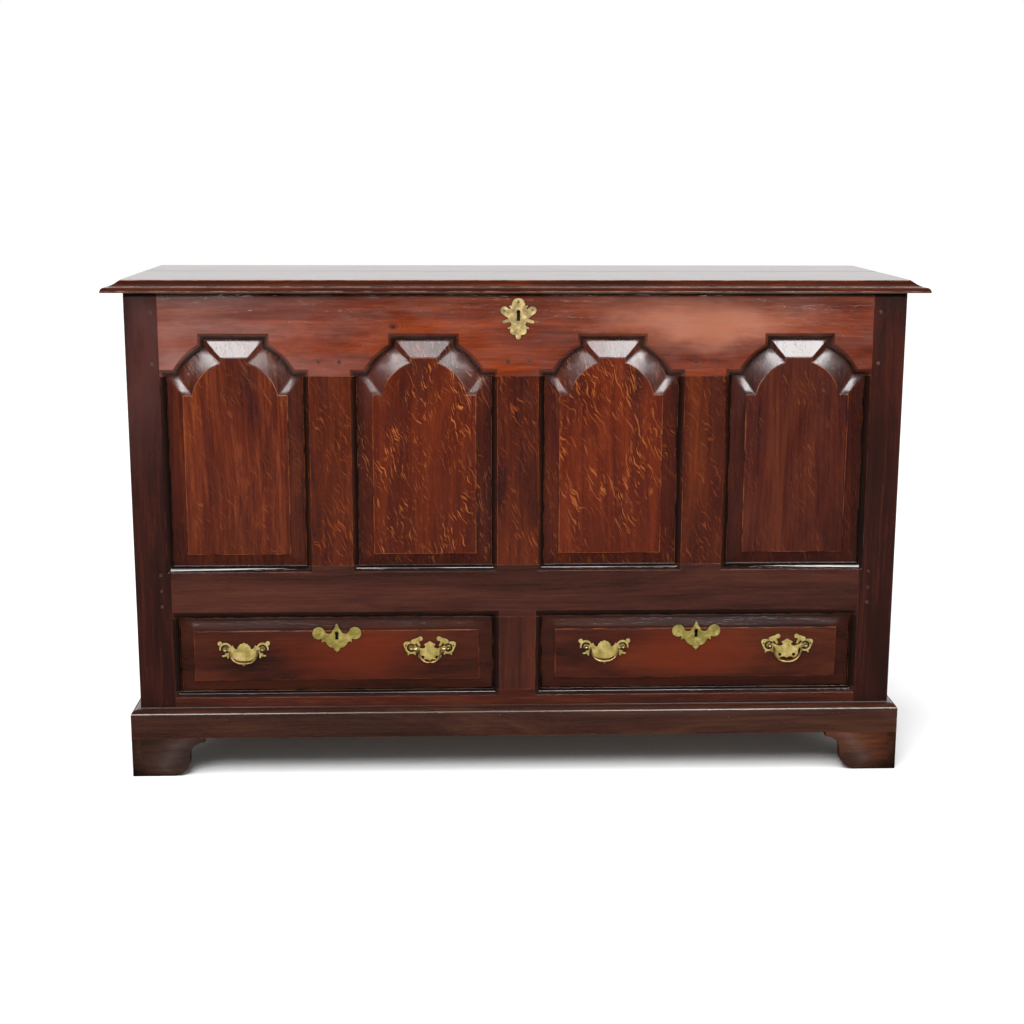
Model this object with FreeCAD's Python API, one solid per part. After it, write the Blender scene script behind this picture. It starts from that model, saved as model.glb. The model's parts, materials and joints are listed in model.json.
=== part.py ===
"""Mule chest: a joined oak chest with a lifting lid over two drawers, one solid per piece.

Millimetres. +Z is up, and +X is to the right of someone who faces the chest and looks along +Y.
The origin is on the floor, under the middle of the lid's outline.
"""

import FreeCAD, Part
import math
import os
from dataclasses import dataclass

from FreeCAD import Placement, Rotation, Vector

# ---------------------------------------------------------------- driving dimensions, mm
CARCASS_WIDTH = 1430.0
CARCASS_DEPTH = 440.0
CARCASS_TOP = 917.0

LID_THICKNESS = 21.5
LID_OVERHANG = 35.0
LID_REAR_OVERHANG = 9.0
LID_FRONT_BOARD = 290.0
LID_ARRIS = 1.0
LID_NOSE = 3.0
LID_QUIRK = 0.8
LID_FILLET = 1.3
LID_SHELF = 5.5
LID_LOWER_RUN = 8.0
LID_UPPER_RUN = 15.0
LID_UPPER_RISE = 9.4
LID_UPPER_SAG = 0.08
LID_BATTEN_WIDTH = 60.0
LID_BATTEN_THICKNESS = 18.0
LID_BATTEN_X = 330.0
LID_BATTEN_CLEARANCE = 5.0

# Framing: flats are the plain widths between mouldings.
RAIL_THICKNESS = 27.0
REAR_RAIL_THICKNESS = 22.0
PANEL_STILE_FLAT = 60.0
DRAWER_STILE_FLAT = 66.0
END_STILE_FLAT = 38.0
MUNTIN_FLAT = 76.0
END_MUNTIN_FLAT = 60.0
DIVIDER_FLAT = 69.0
TOP_RAIL_FLAT = 76.0
PANEL_OPENING_BOTTOM = 394.0
DRAWER_OPENING_TOP = 317.0
DRAWER_OPENING_BOTTOM = 149.5
PANELS_ACROSS = 4
REAR_PANELS_ACROSS = 3

# The moulding stuck on the inner edges of the framing.
MOULDING_WIDTH = 12.0
MOULDING_DEPTH = 8.0
MOULDING_FILLET = 1.3
SHELF_FALL = 0.13
ROUND_STEPS = 5

# The arched head of a front opening.
ARCH_RISE = 66.0
ARCH_CROWN_HALF = 64.4
ARCH_CROWN_SIDE = 19.8
ARCH_CENTRE_DROP = 64.0

# Panels.
GROOVE_DEPTH = 9.0
GROOVE_START = 9.4
PANEL_TONGUE = 6.0
PANEL_CLEARANCE = 0.3
FIELD_DEPTH = 3.5
FIELD_STEP = 2.0
FIELD_SIDE = 40.0
FIELD_TOP = 45.0
FIELD_BOTTOM = 34.0
FIELD_SHOULDER = 48.0

# Mortise and tenon joints, with their pegs.
TENON_LENGTH = 44.0
TENON_THICKNESS = 9.0
TENON_SHOULDER = 10.5
MUNTIN_TENON_LENGTH = 36.0
TENON_END_GAP = 0.5
PEG_RADIUS = 3.2
PEG_CLEARANCE = 0.05
PEG_PROUD = 0.6
PEG_END_COVER = 4.0
PEG_SETBACK = 30.0
TOP_RAIL_PEGS = (36.0, 131.0)
MID_RAIL_PEGS = (16.0, 47.0, 77.0)
MUNTIN_PEG_HALF = 19.0
MUNTIN_PEG_RISE = 26.0
END_RAIL_PEG_INSET = 24.0

# Plinth and bracket feet.
PLINTH_TOP = 130.0
PLINTH_BOTTOM = 74.7
PLINTH_THICKNESS = 17.0
PLINTH_MOULD_RISE = 10.0
PLINTH_MOULD_LEDGE = 4.0
FOOT_SOLE = 79.0
FOOT_KNEE = 109.0
FOOT_LENGTH = 137.0
FOOT_KNEE_RISE = 37.0
FOOT_COVE_RISE = 66.0
FOOT_STEP = 2.0
FOOT_BLOCK = 45.0
REAR_BRACKET_LENGTH = 105.0

# Chest floor and drawer guides.
FLOOR_THICKNESS = 15.0
FLOOR_DROP = 51.0
FLOOR_TONGUE = 8.0
FLOOR_BOARDS = 3
FLOOR_CLEARANCE = 0.3
RUNNER_WIDTH = 34.0
RUNNER_THICKNESS = 24.0
GUIDE_HEIGHT = 30.0
GUIDE_CLEARANCE = 1.0
KICKER_CLEARANCE = 2.0

# Drawers.
DRAWER_GAP = 1.2
DRAWER_EDGE_DEPTH = 10.0
DRAWER_FRONT_BACK = 26.0
DRAWER_FIELD_MARGIN = 25.0
DRAWER_FIELD_LOW_MARGIN = 20.0
DRAWER_SIDE_THICKNESS = 11.0
DRAWER_BACK_THICKNESS = 11.0
DRAWER_BOTTOM_THICKNESS = 8.0
DRAWER_BOTTOM_RISE = 8.0
DRAWER_BOTTOM_GROOVE = 5.0
DRAWER_SIDE_DROP = 7.0
DRAWER_REAR_GAP = 14.0
DRAWER_RUN_CLEARANCE = 0.3
DOVETAIL_LAP = 5.0
DOVETAIL_COUNT = 4
DOVETAIL_ROOT = 14.0
DOVETAIL_TIP = 19.0

# Hinges.
HINGE_INSET = 155.0
HINGE_BARREL_RADIUS = 4.2
HINGE_PIN_RADIUS = 2.0
HINGE_PIN_CLEARANCE = 0.05
HINGE_CLEARANCE = 0.3
HINGE_PLATE = 3.0
HINGE_STRAP_WIDTH = 28.0
HINGE_STRAP_LENGTH = 240.0
HINGE_LEAF_WIDTH = 64.0
HINGE_LEAF_DROP = 58.0
HINGE_PIN_HEAD = 1.5
HINGE_PIN_HEAD_RIM = 1.0

# Brasses: plates, posts and bails.
PLATE_THICKNESS = 1.6
BAIL_SPACING = 70.0
HANDLE_OFFSET = 175.5
HANDLE_Z = 244.6
PLATE_DROP = 1.8
PLATE_EYE_RADIUS = 8.4
POST_BALL_RADIUS = 4.0
POST_STANDOFF = 7.5
POST_NECK_RADIUS = 2.6
POST_SHANK_RADIUS = 2.4
POST_HOLE_CLEARANCE = 0.2
POST_BOSS_RADIUS = 5.2
POST_BOSS_THICKNESS = 1.4
POST_NUT_RADIUS = 6.0
POST_NUT_THICKNESS = 4.0
POST_NUT_CLEARANCE = 0.05
POST_END_PROUD = 1.0
BAIL_PIVOT_RADIUS = 1.5
BAIL_PIVOT_CLEARANCE = 0.05
BAIL_PIVOT_DEPTH = 3.4
BAIL_PIVOT_ROOT = 1.0
BAIL_PIVOT_END_GAP = 0.4
BAIL_SHOULDER_GAP = 0.2
BAIL_END_RADIUS = 1.6
BAIL_MIDDLE_RADIUS = 2.6
BAIL_BEND = 3.2
BAIL_BEND_STATIONS = 3
BAIL_LOOP_STATIONS = 8
BAIL_FULLNESS = 0.8
BAIL_SWELL = 4
PENDANT_BAIL_HALF = 25.9
PENDANT_BAIL_DROP = 26.7
PENDANT_RADIUS = 2.3
NARROW_BAIL_HALF = 20.6
NARROW_BAIL_DROP = 26.9
WIDE_BAIL_HALF = 26.6
WIDE_BAIL_DROP = 30.4

# Locks.
LOCK_CASE_WIDTH = 104.0
LOCK_CASE_HEIGHT = 68.0
LOCK_CASE_DEPTH = 16.0
LOCK_BOLT_WIDTH = 5.0
LOCK_BOLT_HEIGHT = 6.0
LOCK_BOLT_LENGTH = 34.0
LOCK_BOLT_THROW = 9.0
LOCK_CLEARANCE = 0.4
LOCK_CASE_WALL = 2.0
LOCK_KEY_CLEARANCE = 1.0
STAPLE_SWING_CLEARANCE = 1.4
STAPLE_PLATE_LENGTH = 58.0
STAPLE_PLATE_WIDTH = 15.0
STAPLE_PLATE_THICKNESS = 2.5
STAPLE_THICKNESS = 6.0
STAPLE_WIDTH = 11.0
STAPLE_DROP = 22.0
STAPLE_SLOT_CLEARANCE = 2.0
DRAWER_LOCK_WIDTH = 70.0
DRAWER_LOCK_HEIGHT = 56.0
DRAWER_LOCK_FRONT = 16.0
DRAWER_LOCK_PROUD = 2.0
DRAWER_BOLT_WIDTH = 22.0
DRAWER_BOLT_THICKNESS = 5.0
DRAWER_BOLT_HEIGHT = 26.0
DRAWER_BOLT_THROW = 7.0
CHEST_KEYHOLE_DROP = 42.8
CHEST_KEYHOLE_LENGTH = 20.0
DRAWER_KEYHOLE_DROP = 34.0
DRAWER_KEYHOLE_LENGTH = 16.4
KEYHOLE_EYE_RADIUS = 3.7
KEYHOLE_SLOT_WIDTH = 5.8
KEY_PIN_RADIUS = 1.2
ESCUTCHEON_PIN_RADIUS = 1.0
ESCUTCHEON_PIN_LENGTH = 9.0
ESCUTCHEON_PIN_DOME = 1.7

OVERRUN = 2.0

# ---------------------------------------------------------------- worked-out places
HALF_WIDTH = CARCASS_WIDTH / 2.0
LID_DEPTH = LID_OVERHANG + CARCASS_DEPTH + LID_REAR_OVERHANG
FRONT = LID_OVERHANG - LID_DEPTH / 2.0
BACK = FRONT + CARCASS_DEPTH
MIDDLE_Y = (FRONT + BACK) / 2.0

STILE_WIDTH = max(PANEL_STILE_FLAT, DRAWER_STILE_FLAT) + MOULDING_WIDTH
POST_DEPTH = END_STILE_FLAT + MOULDING_WIDTH
INNER_X = HALF_WIDTH - STILE_WIDTH
INNER_END = CARCASS_DEPTH / 2.0 - POST_DEPTH

CROWN_Z = CARCASS_TOP - TOP_RAIL_FLAT
SHOULDER_Z = CROWN_Z - ARCH_RISE
ARCH_RADIUS = math.hypot(ARCH_CROWN_HALF, ARCH_RISE - ARCH_CROWN_SIDE + ARCH_CENTRE_DROP)

MID_RAIL_TOP = PANEL_OPENING_BOTTOM + MOULDING_WIDTH
MID_RAIL_BOTTOM = DRAWER_OPENING_TOP - MOULDING_WIDTH
BOTTOM_RAIL_TOP = DRAWER_OPENING_BOTTOM + MOULDING_WIDTH

TENON_START = GROOVE_START
FLOOR_TOP = MID_RAIL_TOP - FLOOR_DROP
FLOOR_BOTTOM = FLOOR_TOP - FLOOR_THICKNESS

PANELLED_WIDTH = CARCASS_WIDTH - 2.0 * PANEL_STILE_FLAT
OPENING_HALF = (PANELLED_WIDTH - (PANELS_ACROSS - 1) * MUNTIN_FLAT) / PANELS_ACROSS / 2.0
DRAWER_OPENING_HALF = (HALF_WIDTH - DRAWER_STILE_FLAT - DIVIDER_FLAT / 2.0) / 2.0
DRAWER_X = DIVIDER_FLAT / 2.0 + DRAWER_OPENING_HALF

DRAWER_HALF = DRAWER_OPENING_HALF - MOULDING_WIDTH - DRAWER_GAP
DRAWER_LOW = BOTTOM_RAIL_TOP + DRAWER_RUN_CLEARANCE
DRAWER_FRONT_LOW = BOTTOM_RAIL_TOP + DRAWER_GAP
DRAWER_FRONT_HIGH = MID_RAIL_BOTTOM - DRAWER_GAP
DRAWER_SIDE_HIGH = DRAWER_FRONT_HIGH - DRAWER_SIDE_DROP
DRAWER_REAR = BACK - REAR_RAIL_THICKNESS - DRAWER_REAR_GAP

HINGE_X = HALF_WIDTH - HINGE_INSET
HINGE_Y = BACK + HINGE_BARREL_RADIUS + HINGE_CLEARANCE
HINGE_Z = CARCASS_TOP - HINGE_BARREL_RADIUS - HINGE_CLEARANCE

DRAWER_PLATE_Y = FRONT + FIELD_DEPTH - PLATE_THICKNESS
POST_Y = DRAWER_PLATE_Y - POST_STANDOFF
BAIL_PIVOT_X = BAIL_SPACING / 2.0 - POST_BALL_RADIUS
CHEST_KEYHOLE_Z = CARCASS_TOP - CHEST_KEYHOLE_DROP
DRAWER_KEYHOLE_Z = DRAWER_FRONT_HIGH - DRAWER_KEYHOLE_DROP
LOCK_CASE_TOP = CARCASS_TOP - STAPLE_PLATE_THICKNESS - LOCK_CLEARANCE
LOCK_Y = FRONT + RAIL_THICKNESS + LOCK_CASE_DEPTH / 2.0
LOCK_BOLT_Z = CARCASS_TOP - STAPLE_PLATE_THICKNESS - STAPLE_DROP / 2.0

FRONT_FACE = Placement(Vector(0, FRONT, 0), Rotation(Vector(0, 0, 1), 0))
REAR_FACE = Placement(Vector(0, BACK, 0), Rotation(Vector(0, 0, 1), 180))
LEFT_FACE = Placement(Vector(-HALF_WIDTH, MIDDLE_Y, 0), Rotation(Vector(0, 0, 1), -90))
RIGHT_FACE = Placement(Vector(HALF_WIDTH, MIDDLE_Y, 0), Rotation(Vector(0, 0, 1), 90))


# ---------------------------------------------------------------- small shape helpers
def box(x0, x1, y0, y1, z0, z1):
    """A block between two corners."""
    return Part.makeBox(x1 - x0, y1 - y0, z1 - z0, Vector(x0, y0, z0))


def rod(radius, start, end):
    """A round bar from one point to another."""
    run = end - start
    return Part.makeCylinder(radius, run.Length, start, run)


def placed(shape, placement):
    """A copy of a shape, carried from a face's own coordinates to the chest's."""
    copy = shape.copy()
    copy.Placement = placement.multiply(copy.Placement)
    return copy


def moved(shape, x=0.0, y=0.0, z=0.0):
    """A copy of a shape, shifted."""
    copy = shape.copy()
    copy.translate(Vector(x, y, z))
    return copy


def mirrored(shape):
    """The other hand of a shape, across the chest's middle."""
    return shape.mirror(Vector(0, 0, 0), Vector(1, 0, 0))


def cut_all(shape, cutters):
    """A shape less every cutter that reaches it."""
    near = [cutter for cutter in cutters if cutter.BoundBox.intersect(shape.BoundBox)]
    return shape.cut(near) if near else shape


def joined(shapes):
    """Shapes that touch, made one solid."""
    return shapes[0].fuse(shapes[1:]).removeSplitter()


def polygon_prism(points, direction):
    """A flat outline of points, drawn out along a vector."""
    wire = Part.makePolygon(points + points[:1])
    return Part.Face(wire).extrude(direction)


def ruled_solid(wires):
    """A solid with straight walls between matching outlines."""
    return Part.makeLoft(wires, True, True)


def quarter_round(start, rise, side, run):
    """Points of a quarter round that starts upright: each is (start .. start + rise, side .. side + run)."""
    angles = [math.radians(90.0 * step / ROUND_STEPS) for step in range(ROUND_STEPS + 1)]
    return [(start + rise * math.sin(angle), side + run * (1.0 - math.cos(angle))) for angle in angles]


def shallow_hollow(start, rise, side, run, sag):
    """Points up a slope that sags by a share of its rise, in the same span as a quarter round."""
    parts = [step / ROUND_STEPS for step in range(ROUND_STEPS + 1)]
    return [(start + rise * (part - sag * math.sin(math.pi * part)), side + run * part) for part in parts]


def rectangle(x0, x1, z0, z1, y):
    """An upright rectangle at one depth."""
    corners = [Vector(x0, y, z0), Vector(x1, y, z0), Vector(x1, y, z1), Vector(x0, y, z1)]
    return Part.makePolygon(corners + corners[:1])


# ---------------------------------------------------------------- openings in the framing
@dataclass
class SquareOpening:
    """A rectangular opening, measured to the outer line of its moulding."""

    x0: float
    x1: float
    z0: float
    z1: float

    def wire(self, depth, inset):
        return rectangle(self.x0 + inset, self.x1 - inset, self.z0 + inset, self.z1 - inset, depth)

    def field_wire(self, depth):
        return self.wire(depth, FIELD_SIDE)


@dataclass
class ArchedOpening:
    """An opening with shoulders, two arcs and a short flat crown."""

    x: float
    half: float
    z0: float

    def wire(self, depth, inset):
        return self.outline(depth, inset, inset, inset, inset)

    def field_wire(self, depth):
        return self.outline(depth, FIELD_SIDE, FIELD_TOP, FIELD_BOTTOM, FIELD_SHOULDER)

    def outline(self, depth, side, top, bottom, shoulder):
        """The outline, with its own inset for the sides, crown, sill and shoulders."""
        centre_z = SHOULDER_Z - ARCH_CENTRE_DROP
        radius = ARCH_RADIUS - shoulder
        spring = math.acos((ARCH_CROWN_HALF - side) / radius)
        foot = math.asin((ARCH_CENTRE_DROP - shoulder) / radius)
        middle = (spring + foot) / 2.0

        def at(x, z):
            return Vector(self.x + x, depth, z)

        def on_arc(angle, hand):
            return at(hand * radius * math.cos(angle), centre_z + radius * math.sin(angle))

        half = self.half - side
        low = self.z0 + bottom
        level = SHOULDER_Z - shoulder
        crown_half = ARCH_CROWN_HALF - side
        crown = CROWN_Z - top
        points = [at(half, low), at(half, level), on_arc(foot, 1), on_arc(spring, 1), at(crown_half, crown)]
        points += [at(-crown_half, crown), on_arc(spring, -1), on_arc(foot, -1)]
        points += [at(-half, level), at(-half, low)]
        arcs = {2: on_arc(middle, 1), 6: on_arc(middle, -1)}
        edges = []
        for index, start in enumerate(points):
            end = points[(index + 1) % len(points)]
            if index in arcs:
                edges.append(Part.Arc(start, arcs[index], end).toShape())
            else:
                edges.append(Part.LineSegment(start, end).toShape())
        return Part.Wire(edges)


def moulding_sections():
    """(depth, inset) pairs down the moulding: a fillet, an ovolo and a fillet."""
    shelf = MOULDING_FILLET + SHELF_FALL
    run = MOULDING_WIDTH - 2.0 * MOULDING_FILLET
    ovolo = quarter_round(MOULDING_FILLET, run, shelf, MOULDING_DEPTH - shelf - SHELF_FALL)
    sections = [(-OVERRUN, 0.0), (MOULDING_FILLET, 0.0)]
    sections += [(depth, inset) for inset, depth in ovolo]
    sections += [(MOULDING_DEPTH, MOULDING_WIDTH), (RAIL_THICKNESS + OVERRUN, MOULDING_WIDTH)]
    return sections


def moulded_cutter(opening):
    """What is cut away for a moulded opening."""
    return ruled_solid([opening.wire(depth, inset) for depth, inset in moulding_sections()])


def plain_cutter(opening):
    """What is cut away for a square-edged opening."""
    ends = (-OVERRUN, RAIL_THICKNESS + OVERRUN)
    return ruled_solid([opening.wire(depth, MOULDING_WIDTH) for depth in ends])


def groove_cutter(opening):
    """The groove that holds a panel's edge."""
    start = GROOVE_START
    end = start + PANEL_TONGUE + PANEL_CLEARANCE
    inset = MOULDING_WIDTH - GROOVE_DEPTH
    return ruled_solid([opening.wire(depth, inset) for depth in (start, end)])


def flat_panel(opening):
    """A plain panel in its groove."""
    start = GROOVE_START + PANEL_CLEARANCE / 2.0
    inset = MOULDING_WIDTH - GROOVE_DEPTH + PANEL_CLEARANCE
    return ruled_solid([opening.wire(depth, inset) for depth in (start, start + PANEL_TONGUE)])


def fielded_panel(opening):
    """A panel with a raised field and a bevel round it."""
    start = GROOVE_START + PANEL_CLEARANCE / 2.0
    bevel_foot = opening.wire(start, MOULDING_WIDTH + PANEL_CLEARANCE)
    rise = [opening.field_wire(depth) for depth in (FIELD_DEPTH + FIELD_STEP, FIELD_DEPTH)]
    return joined([flat_panel(opening), ruled_solid([bevel_foot] + rise)])


# ---------------------------------------------------------------- joints of the framing
@dataclass
class Member:
    """A rail or muntin of one face, in that face's coordinates: x across, y inwards, z up.

    A lap carries each end of a rail over the stile, to the outer line of the stile's moulding.
    """

    x0: float
    x1: float
    z0: float
    z1: float
    thickness: float
    upright: bool = False
    tenon: float = TENON_LENGTH
    lap: float = 0.0

    def tenons(self, extra=0.0):
        """The two tenons, or their mortises when `extra` deepens them."""
        y0, y1 = TENON_START, TENON_START + TENON_THICKNESS
        reach = self.tenon + extra
        if self.upright:
            a, b = self.x0 + TENON_SHOULDER, self.x1 - TENON_SHOULDER
            return [box(a, b, y0, y1, self.z1, self.z1 + reach), box(a, b, y0, y1, self.z0 - reach, self.z0)]
        a, b = self.z0 + TENON_SHOULDER, self.z1 - TENON_SHOULDER
        return [box(self.x0 - reach, self.x0, y0, y1, a, b), box(self.x1, self.x1 + reach, y0, y1, a, b)]

    def laps(self):
        """The ends that lie over the stiles."""
        if not self.lap:
            return []
        ends = ((self.x0 - self.lap, self.x0), (self.x1, self.x1 + self.lap))
        return [box(a, b, 0.0, self.thickness, self.z0, self.z1) for a, b in ends]

    def solid(self):
        body = box(self.x0 - self.lap, self.x1 + self.lap, 0.0, self.thickness, self.z0, self.z1)
        return joined([body] + self.tenons())

    def mortises(self):
        return self.tenons(TENON_END_GAP) + self.laps()


def peg(x, z, clearance=0.0):
    """A riven peg through a tenon, or its hole when it has clearance."""
    end = TENON_START + TENON_THICKNESS + PEG_END_COVER
    return rod(PEG_RADIUS + clearance, Vector(x, -PEG_PROUD, z), Vector(x, end, z))


@dataclass
class Face:
    """One framed side of the carcass: its place, openings, members and pegs."""

    placement: Placement
    panelled: list
    open_ways: list
    rails: list
    muntins: list
    peg_points: list
    moulded: bool = True

    def cutters(self):
        cut = moulded_cutter if self.moulded else plain_cutter
        shapes = [cut(opening) for opening in self.panelled + self.open_ways]
        shapes += [groove_cutter(opening) for opening in self.panelled]
        return [placed(shape, self.placement) for shape in shapes]

    def panels(self):
        make = fielded_panel if self.moulded else flat_panel
        return [placed(make(opening), self.placement) for opening in self.panelled]

    def peg_holes(self):
        return [placed(peg(x, z, PEG_CLEARANCE), self.placement) for x, z in self.peg_points]

    def pegs(self):
        return [placed(peg(x, z), self.placement) for x, z in self.peg_points]

    def rail_mortises(self):
        return [placed(shape, self.placement) for rail in self.rails for shape in rail.mortises()]

    def muntin_mortises(self):
        return [placed(shape, self.placement) for muntin in self.muntins for shape in muntin.mortises()]

    def rail_solids(self):
        cutters = self.cutters() + self.muntin_mortises() + self.peg_holes()
        return [cut_all(placed(rail.solid(), self.placement), cutters) for rail in self.rails]

    def muntin_solids(self):
        cutters = self.cutters() + self.peg_holes()
        return [cut_all(placed(muntin.solid(), self.placement), cutters) for muntin in self.muntins]


def even_places(low, high, count, flat):
    """The (start, end) of `count` equal openings with a flat between each two."""
    width = (high - low - (count - 1) * flat) / count
    return [(low + index * (width + flat), low + index * (width + flat) + width) for index in range(count)]


def muntins_between(places, z0, z1, thickness, tenon=MUNTIN_TENON_LENGTH):
    """An upright member in each gap of a row of openings."""
    found = []
    for (_, left_end), (right_start, _) in zip(places, places[1:]):
        x0, x1 = left_end - MOULDING_WIDTH, right_start + MOULDING_WIDTH
        found.append(Member(x0, x1, z0, z1, thickness, True, tenon))
    return found


def front_face():
    """Four arched openings over two drawer openings."""
    low, high = PANEL_STILE_FLAT - HALF_WIDTH, HALF_WIDTH - PANEL_STILE_FLAT
    places = even_places(low, high, PANELS_ACROSS, MUNTIN_FLAT)
    arches = [ArchedOpening((a + b) / 2.0, OPENING_HALF, PANEL_OPENING_BOTTOM) for a, b in places]
    top_low = SHOULDER_Z - MOULDING_WIDTH
    top_lap, low_lap = STILE_WIDTH - PANEL_STILE_FLAT, STILE_WIDTH - DRAWER_STILE_FLAT
    rails = [
        Member(-INNER_X, INNER_X, top_low, CARCASS_TOP, RAIL_THICKNESS, lap=top_lap),
        Member(-INNER_X, INNER_X, MID_RAIL_BOTTOM, MID_RAIL_TOP, RAIL_THICKNESS, lap=low_lap),
        Member(-INNER_X, INNER_X, PLINTH_BOTTOM, BOTTOM_RAIL_TOP, RAIL_THICKNESS, lap=low_lap),
    ]
    muntins = muntins_between(places, MID_RAIL_TOP, top_low, RAIL_THICKNESS)
    divider_half = DIVIDER_FLAT / 2.0 + MOULDING_WIDTH
    low, high = BOTTOM_RAIL_TOP, MID_RAIL_BOTTOM
    divider = Member(-divider_half, divider_half, low, high, RAIL_THICKNESS, True, MUNTIN_TENON_LENGTH)
    peg_x = INNER_X + PEG_SETBACK
    points = [(hand * peg_x, CARCASS_TOP - drop) for hand in (-1, 1) for drop in TOP_RAIL_PEGS]
    points += [(hand * peg_x, MID_RAIL_TOP - drop) for hand in (-1, 1) for drop in MID_RAIL_PEGS]
    for muntin in muntins:
        centre = (muntin.x0 + muntin.x1) / 2.0
        points += [(centre + hand * MUNTIN_PEG_HALF, top_low + MUNTIN_PEG_RISE) for hand in (-1, 1)]
    drawers = [drawer_opening(hand) for hand in (-1, 1)]
    return Face(FRONT_FACE, arches, drawers, rails, muntins + [divider], points)


def drawer_opening(hand):
    """The moulded opening of the left (-1) or right (+1) drawer."""
    x0, x1 = hand * DRAWER_X - DRAWER_OPENING_HALF, hand * DRAWER_X + DRAWER_OPENING_HALF
    return SquareOpening(x0, x1, DRAWER_OPENING_BOTTOM, DRAWER_OPENING_TOP)


def level_rails(half, thickness):
    """The top, middle and bottom rails of an end or of the back."""
    heights = [
        (CROWN_Z - MOULDING_WIDTH, CARCASS_TOP),
        (MID_RAIL_BOTTOM, MID_RAIL_TOP),
        (PLINTH_BOTTOM, BOTTOM_RAIL_TOP),
    ]
    return [Member(-half, half, low, high, thickness) for low, high in heights]


def end_face(placement):
    """Two upright panels over one long low panel."""
    edge = CARCASS_DEPTH / 2.0 - END_STILE_FLAT
    places = even_places(-edge, edge, 2, END_MUNTIN_FLAT)
    openings = [SquareOpening(a, b, PANEL_OPENING_BOTTOM, CROWN_Z) for a, b in places]
    openings.append(SquareOpening(-edge, edge, DRAWER_OPENING_BOTTOM, DRAWER_OPENING_TOP))
    rails = level_rails(INNER_END, RAIL_THICKNESS)
    muntins = muntins_between(places, MID_RAIL_TOP, CROWN_Z - MOULDING_WIDTH, RAIL_THICKNESS)
    peg_x = INNER_END + PEG_SETBACK / 2.0
    points = []
    for rail in rails[:2]:
        heights = (rail.z0 + END_RAIL_PEG_INSET, rail.z1 - END_RAIL_PEG_INSET)
        points += [(hand * peg_x, z) for hand in (-1, 1) for z in heights]
    return Face(placement, openings, [], rails, muntins, points)


def rear_face():
    """Three plain panels over two, square edged."""
    edge = INNER_X + MOULDING_WIDTH
    upper = even_places(-edge, edge, REAR_PANELS_ACROSS, END_MUNTIN_FLAT)
    lower = even_places(-edge, edge, 2, END_MUNTIN_FLAT)
    openings = [SquareOpening(a, b, PANEL_OPENING_BOTTOM, CROWN_Z) for a, b in upper]
    openings += [SquareOpening(a, b, DRAWER_OPENING_BOTTOM, DRAWER_OPENING_TOP) for a, b in lower]
    muntins = muntins_between(upper, MID_RAIL_TOP, CROWN_Z - MOULDING_WIDTH, REAR_RAIL_THICKNESS)
    muntins += muntins_between(lower, BOTTOM_RAIL_TOP, MID_RAIL_BOTTOM, REAR_RAIL_THICKNESS)
    rails = level_rails(INNER_X, REAR_RAIL_THICKNESS)
    return Face(REAR_FACE, openings, [], rails, muntins, [], False)


# ---------------------------------------------------------------- carcass
def corner_post(hand, rear):
    """A blank corner post: hand -1 is left, +1 is right."""
    x0, x1 = sorted((hand * HALF_WIDTH, hand * INNER_X))
    y0, y1 = (BACK - POST_DEPTH, BACK) if rear else (FRONT, FRONT + POST_DEPTH)
    return box(x0, x1, y0, y1, PLINTH_BOTTOM, CARCASS_TOP)


def floor_blank(clearance=0.0):
    """The chest floor's outline, with its tongues, before it is notched round the posts."""
    x = HALF_WIDTH - RAIL_THICKNESS + FLOOR_TONGUE + clearance
    y0 = FRONT + RAIL_THICKNESS - FLOOR_TONGUE - clearance
    y1 = BACK - REAR_RAIL_THICKNESS + FLOOR_TONGUE + clearance
    return box(-x, x, y0, y1, FLOOR_BOTTOM, FLOOR_TOP + clearance)


def post_notch(hand, rear):
    """A corner post grown by the floor's clearance."""
    x0, x1 = sorted((hand * HALF_WIDTH, hand * (INNER_X - FLOOR_CLEARANCE)))
    reach = POST_DEPTH + FLOOR_CLEARANCE
    y0, y1 = (BACK - reach, BACK) if rear else (FRONT, FRONT + reach)
    return box(x0, x1, y0, y1, FLOOR_BOTTOM - OVERRUN, FLOOR_TOP + OVERRUN)


def chest_floor():
    """Long boards side by side, housed in the rails all round."""
    blank = cut_all(floor_blank(), [post_notch(hand, rear) for hand in (-1, 1) for rear in (False, True)])
    outline = blank.BoundBox
    width = outline.YLength / FLOOR_BOARDS
    boards = []
    for index in range(FLOOR_BOARDS):
        y0 = outline.YMin + index * width
        strip = box(outline.XMin, outline.XMax, y0, y0 + width, FLOOR_BOTTOM, FLOOR_TOP)
        boards.append(blank.common(strip))
    return boards


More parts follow.
